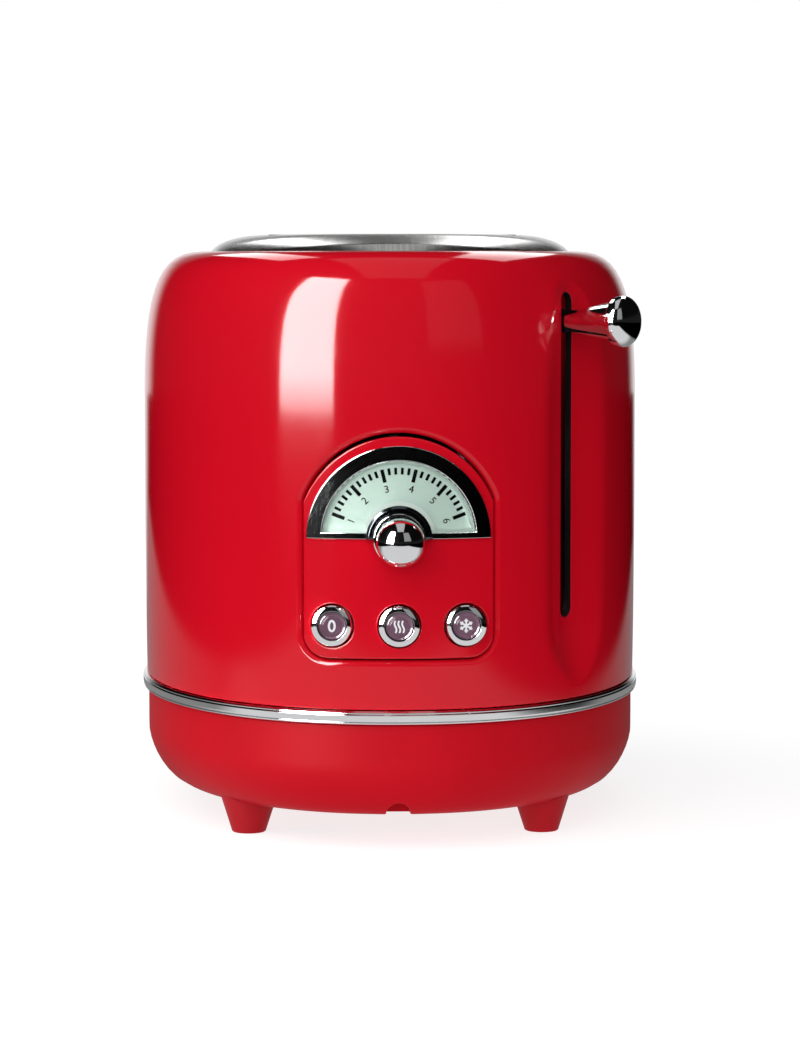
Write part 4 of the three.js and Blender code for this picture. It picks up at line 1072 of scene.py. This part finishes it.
def make_dial_lens():
    """Clear cover between the window's edge and the hub."""
    radius, sill = WINDOW_RADIUS - 0.3, BEZEL_SILL + 0.3
    turn, inner_turn = asin(sill / radius), asin(sill / LENS_BORE)
    level = DIAL_CENTRE + sill
    inner, outer = LENS_BORE * cos(inner_turn), radius * cos(turn)
    loop = joined([
        line((inner, level), (outer, level), 1.2), arc((0, DIAL_CENTRE), radius, turn, pi - turn, 60),
        line((-outer, level), (-inner, level), 1.2),
        arc((0, DIAL_CENTRE), LENS_BORE, pi - inner_turn, inner_turn, 36),
    ])
    skin = Skin().plate(front_surface(-LENS_SINK), 2, LENS_WALL, [(loop, 0.3, LENS_WALL, 5)])
    skin.finish("dial_clear_cover", CLEAR, "dial_lens")


def make_hub():
    """Dark half ring round the knob's root."""
    bore, back = NECK_RADIUS + 0.3, -DIAL_DEPTH + 0.3
    corners = [
        (bore, back), (HUB_RADIUS, back, 0.1), (HUB_RADIUS, HUB_PROUD - 0.7, 0.2),
        (HUB_RADIUS - 0.9, HUB_PROUD, 0.4), (bore, HUB_PROUD, 0.2), (bore, back),
    ]
    skin = turned(corners, 40, 4, pi)
    radius, rise = array([spot for spot, _ in rounded(corners)]).T
    for side in (1, -1):
        skin.add(columns(side * radius, 0, rise), [(0, -1, 0)] * len(rise), [range(len(rise))[::-side]])
    skin.move(FACING_FRONT, (0, -HALF_LENGTH, DIAL_CENTRE))
    skin.finish("knob_hub_ring", DARK_CHROME, "knob_hub")


def make_knob():
    """Chrome ball on a flanged neck, with its shaft."""
    flange_back = HUB_PROUD + 0.3
    flange_front = flange_back + FLANGE_WALL
    low = -(span("browning_knob", 1)[1] - CENTRE_Y + HALF_LENGTH)
    ball = [(BALL_RADIUS * sin(turn), BALL_PROUD - BALL_RADIUS * cos(turn), None)
            for turn in linspace(asin(NECK_RADIUS / BALL_RADIUS), pi, 40)[1:-1]]
    skin = turned([
        (0, low), (KNOB_SHAFT_RADIUS, low, 0.3), (KNOB_SHAFT_RADIUS, flange_back, 0.2),
        (FLANGE_RADIUS, flange_back, 0.3), (FLANGE_RADIUS, flange_front, 0.5),
        (NECK_RADIUS + 0.2, flange_front + 0.2, 0.5), *ball, (0, BALL_PROUD + BALL_RADIUS),
    ], 72)
    skin.move(FACING_FRONT, (0, -HALF_LENGTH, DIAL_CENTRE))
    skin.finish("knob_ball", CHROME, "browning_knob", body="browning_knob")


def button_symbols():
    """Strokes as path, closure, width and layer."""
    turns = linspace(0, TAU, 33)[:-1]
    stop = [(columns(0.95 * np.cos(turns), 1.7 * np.sin(turns)), True, 0.72, 1)]
    rise = linspace(-2, 2, 17)
    wave = 0.34 * np.sin(rise * pi / 2)
    heat = [(columns(offset - wave, rise), False, 0.58, 1) for offset in (-1.25, 0, 1.25)]
    frost = []
    for step in range(6):
        turn = QUARTER + step * TAU / 6
        arm, left, right = (array([cos(way), sin(way)]) for way in (turn, turn - TAU / 8, turn + TAU / 8))
        if step < 3:
            frost.append(([arm * -2.3, arm * 0, arm * 2.3], False, 0.6, 1 + step / 4))
        fork = arm * 1.2
        frost.append(([fork + left * 0.85, fork, fork + right * 0.85], False, 0.42, 1.75))
    return {"cancel": stop, "reheat": heat, "defrost": frost}


def make_buttons():
    """Chrome rings with tinted lenses and symbols."""
    seat, crown = LENS_RADIUS + 0.3, BUTTON_PROUD - BUTTON_CROWN
    upright = surface_of(lambda flat: columns(flat[:, 0], 0, flat[:, 1]))
    for index, (name, strokes) in enumerate(button_symbols().items()):
        x = (index - 1) * BUTTON_PITCH
        face = -reach(x, 0)
        low = -(span(f"button_{name}", 1)[1] - CENTRE_Y - face)
        back, body = BUTTON_FLANGE - 1, f"{name}_button"
        ring = turned([
            (0, low), (BUTTON_STEM_RADIUS, low, 0.3), (BUTTON_STEM_RADIUS, back, 0.2),
            (BUTTON_FOOT, back, 0.2), (BUTTON_FOOT, BUTTON_FLANGE, 0.2),
            (BUTTON_RADIUS, BUTTON_FLANGE, 0.2), (BUTTON_RADIUS, crown, 0.35),
            (seat + 1, BUTTON_PROUD - BUTTON_CROWN / 4, None), (seat, BUTTON_PROUD, 0.1),
            (seat, BUTTON_POCKET), (0, BUTTON_POCKET),
        ], steps=6)
        ring.move(FACING_FRONT, (x, face, BUTTON_CENTRE))
        ring.finish(f"{body}_ring", CHROME, f"button_{name}", body=body)
        lens = turned([
            (0, LENS_BACK), (LENS_RADIUS, LENS_BACK, 0.2), (LENS_RADIUS, LENS_FRONT - 0.75, 0.3),
            (3.7, LENS_FRONT - 0.3), (3.3, LENS_FRONT - 0.42), (2.9, LENS_FRONT, 0.2), (0, LENS_FRONT),
        ])
        lens.move(FACING_FRONT, (x, face, BUTTON_CENTRE))
        lens.finish(f"{body}_lens", LENS_TINT, f"button_lens_{name}", body=body)
        mark = Skin()
        for stroke, closed, width, layer in strokes:
            mark.ribbon(upright, stroke, width / 2, closed, PRINT_WALL * layer)
        mark.move(np.eye(3), (x, face - LENS_FRONT, BUTTON_CENTRE))
        mark.finish(f"{body}_symbol", SYMBOL_INK, body=body)


def make_lever():
    """Stem that widens outward, and a domed knob."""
    length, top = STEM_LENGTH, CAP_RIM + CAP_DOME
    stem = [(0, 0), (STEM_TIP_RADIUS, 0, 0.4), (STEM_RADIUS, length, 0.5), (0, length)]
    dome = [(CAP_RADIUS * cos(turn), CAP_RIM + CAP_DOME * sin(turn), None)
            for turn in linspace(0, QUARTER, 20)[:-1]]
    knob = [(0, 0), (CAP_RADIUS - 0.3, 0, 0.5), (CAP_RADIUS, CAP_RIM * 0.7, 0.3), *dome, (0, top)]
    axes = array([[*LEVER_ALONG, 0], [0, 0, 1], [*LEVER_OUT, 0]])
    for name, corners, sides, start, node in (
            ("lever_cone", stem, 64, -STEM_START, "lever_stem"),
            ("lever_button", knob, 72, length + 0.3 - STEM_START, "lever_knob")):
        skin = turned(corners, sides).move(axes, (*(LEVER_PLACE + LEVER_OUT * start), LEVER_LEVEL))
        skin.finish(name, CHROME, node, body="carriage")


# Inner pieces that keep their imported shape: looks by the start of their names, or else zinc
KEPT = {"carriage": DARK_STEEL, "bread_guide": WIRE, "heater": MICA, "circuit_board": BOARD,
        "potentiometer": BLACK, "switch": BLACK, "cord_inlet": BLACK, "electromagnet": COPPER}


def dress_kept():
    """Looks of the pieces that keep their shape."""
    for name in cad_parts.keys() - STOOD_FOR:
        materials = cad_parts[name].data.materials
        materials.clear()
        materials.append(next((paint for word, paint in KEPT.items() if name.startswith(word)), ZINC))


# Camera, at the photograph's viewing angle
CAMERA_PLACE = (-0.03184, -1.2739, 0.1959)
CAMERA_PITCH = 0.0733
CAMERA_YAW = 0.0279
CAMERA_LENS = 121.85


def make_camera():
    """Camera a little above the dial."""
    data = bpy.data.cameras.new("camera")
    data.sensor_width, data.lens, data.clip_start, data.clip_end = 36, CAMERA_LENS, 0.05, 50
    camera = new_object("camera", data)
    camera.location = CAMERA_PLACE
    camera.rotation_euler = (QUARTER - CAMERA_PITCH, 0, -CAMERA_YAW)
    bpy.context.scene.camera = camera


# Studio, in metres: its light, and the ranges over which the room and the table change in reflections
KEY_DIRECTION = unit([-0.62, -0.74, 0.28]).tolist()
KEY_LIGHT = 2.05
FILL_LIGHT = 0.18
ROOM_DARK = 0.012
ROOM_PALE = 0.9
ROOM_BACK = (0.91, 0.975)
ROOM_RISE = (0.05, 0.22)
FLOOR_REACH = 4
FLOOR_GLOW = 0.8
TABLE_GLOW = 0.72
TABLE_FRONT = (-0.72, -0.64)
TABLE_LEFT = (-0.56, -0.48)
TABLE_RIGHT = (0.34, 0.42)
TABLE_MIDDLE = (-0.12, 0.03)
TABLE_BACK = (0.4, 0.85)
TABLE_SPREAD = (0.18, 0.36)


def make_world():
    """White to the eye, lit from the left, and dark in reflections."""
    world = bpy.data.worlds.new("studio")
    bpy.context.scene.world = world
    graph = Graph(world)
    graph.nodes.clear()
    view = graph.add("TexCoord").outputs["Generated"]
    axes = graph.add("SeparateXYZ", {"Vector": view}).outputs
    lean = graph.add("VectorMath", {0: view, 1: KEY_DIRECTION}, operation="DOT_PRODUCT").outputs["Value"]
    soft = graph.change(lean, 0, 1, FILL_LIGHT, KEY_LIGHT, "LINEAR")
    room = graph.math("MULTIPLY", graph.change(axes["Y"], *ROOM_BACK, ROOM_DARK, ROOM_PALE),
                      graph.change(axes["Z"], *ROOM_RISE, 1, 0.25))
    soft, room, backdrop = (graph.add("Background", {"Color": WHITE, "Strength": strength})
                            for strength in (soft, room, 1))
    path = graph.add("LightPath").outputs
    reflected = graph.mix(path["Is Glossy Ray"], soft, room)
    graph.add("OutputWorld", {"Surface": graph.mix(path["Is Camera Ray"], reflected, backdrop)})


def stage_mesh(name, corners, material):
    """A flat rectangle of the studio."""
    data = bpy.data.meshes.new(name)
    data.from_pydata(corners, [], [(0, 1, 2, 3)])
    data.materials.append(material)
    card = new_object(name, data)
    return card


def make_floor():
    """A pale floor that reflections show as a table."""
    material = bpy.data.materials.new("pale_floor")
    graph = Graph(material)
    shader = graph.nodes["Principled BSDF"]
    graph.feed(shader, {
        "Roughness": 0.7, "Specular IOR Level": 0, "Emission Color": WHITE, "Emission Strength": FLOOR_GLOW,
        "Base Color": graph.tones(graph.noise(3), (0.34, 0.34, 0.34, 1), (0.36, 0.36, 0.36, 1)),
    })
    axes = graph.axes()
    near = graph.math("MULTIPLY", graph.change(axes["Y"], *TABLE_FRONT, 0, TABLE_GLOW),
                      graph.change(axes["X"], *TABLE_LEFT, 0, 1), graph.change(axes["X"], *TABLE_RIGHT, 1, 0),
                      graph.change(axes["Y"], *TABLE_MIDDLE, 1, 0.35))
    slant = graph.math("DIVIDE", graph.add("Math", {0: axes["X"]}, operation="ABSOLUTE"), axes["Y"])
    behind = graph.math("MULTIPLY", graph.change(axes["Y"], *TABLE_BACK, 0, ROOM_PALE),
                        graph.change(slant, *TABLE_SPREAD, 1, 0))
    table = graph.add("Emission", {"Strength": graph.math("MAXIMUM", near, behind)})
    seen = graph.mix(graph.add("LightPath").outputs["Is Camera Ray"], table, shader)
    graph.feed(graph.nodes["Material Output"], {"Surface": seen})
    stage_mesh("floor", lying(-FLOOR_REACH, FLOOR_REACH, -FLOOR_REACH, FLOOR_REACH, 0), material)


def glow_card(name, corners, radiance, fade=None):
    """A soft box for reflections; it grows over a fade of heights."""
    material = bpy.data.materials.new(name)
    graph = Graph(material)
    graph.nodes.remove(graph.nodes["Principled BSDF"])
    strength = radiance
    if fade:
        strength = graph.change(graph.axes()["Z"], *fade, 0, radiance)
    graph.feed(graph.nodes["Material Output"], {"Surface": graph.add("Emission", {"Strength": strength})})
    card = stage_mesh(name, corners, material)
    card.visible_camera = card.visible_diffuse = card.visible_shadow = False


def standing(first, last, low, high):
    """Corners of an upright card."""
    return [(*first, low), (*last, low), (*last, high), (*first, high)]


def lying(x0, x1, y0, y1, height):
    """Corners of a level card."""
    return [(x0, y0, height), (x1, y0, height), (x1, y1, height), (x0, y1, height)]


def make_studio():
    """Floor, world and the soft boxes of the reflections."""
    make_floor()
    make_world()
    glow_card("window_left", standing((-0.738, -1.205), (-1.269, -0.646), 0.103, 1.75), 27, (0.0, 0.22))
    glow_card("window_right", standing((0.33, -1.25), (0.98, -0.95), 0.25, 1.5), 0.3, (0.25, 0.4))
    glow_card("strip_left", lying(-0.55, -0.28, 0.6, 3.2, 1.2), 3.4)
    glow_card("strip_right", lying(0.25, 0.6, 0.5, 3.4, 1.2), 3.4)
    glow_card("overhead", lying(-0.3, 0.3, -0.9, 0.45, 1.3), 0.5)
    bpy.context.scene.view_settings.view_transform = "Standard"


for make in (make_camera, make_casing, make_band, make_base, make_crumb_tray, make_collar, make_feet,
             make_panel, make_bezel, make_dial, make_dial_lens, make_hub, make_knob, make_buttons,
             make_lever, dress_kept, make_studio):
    make()
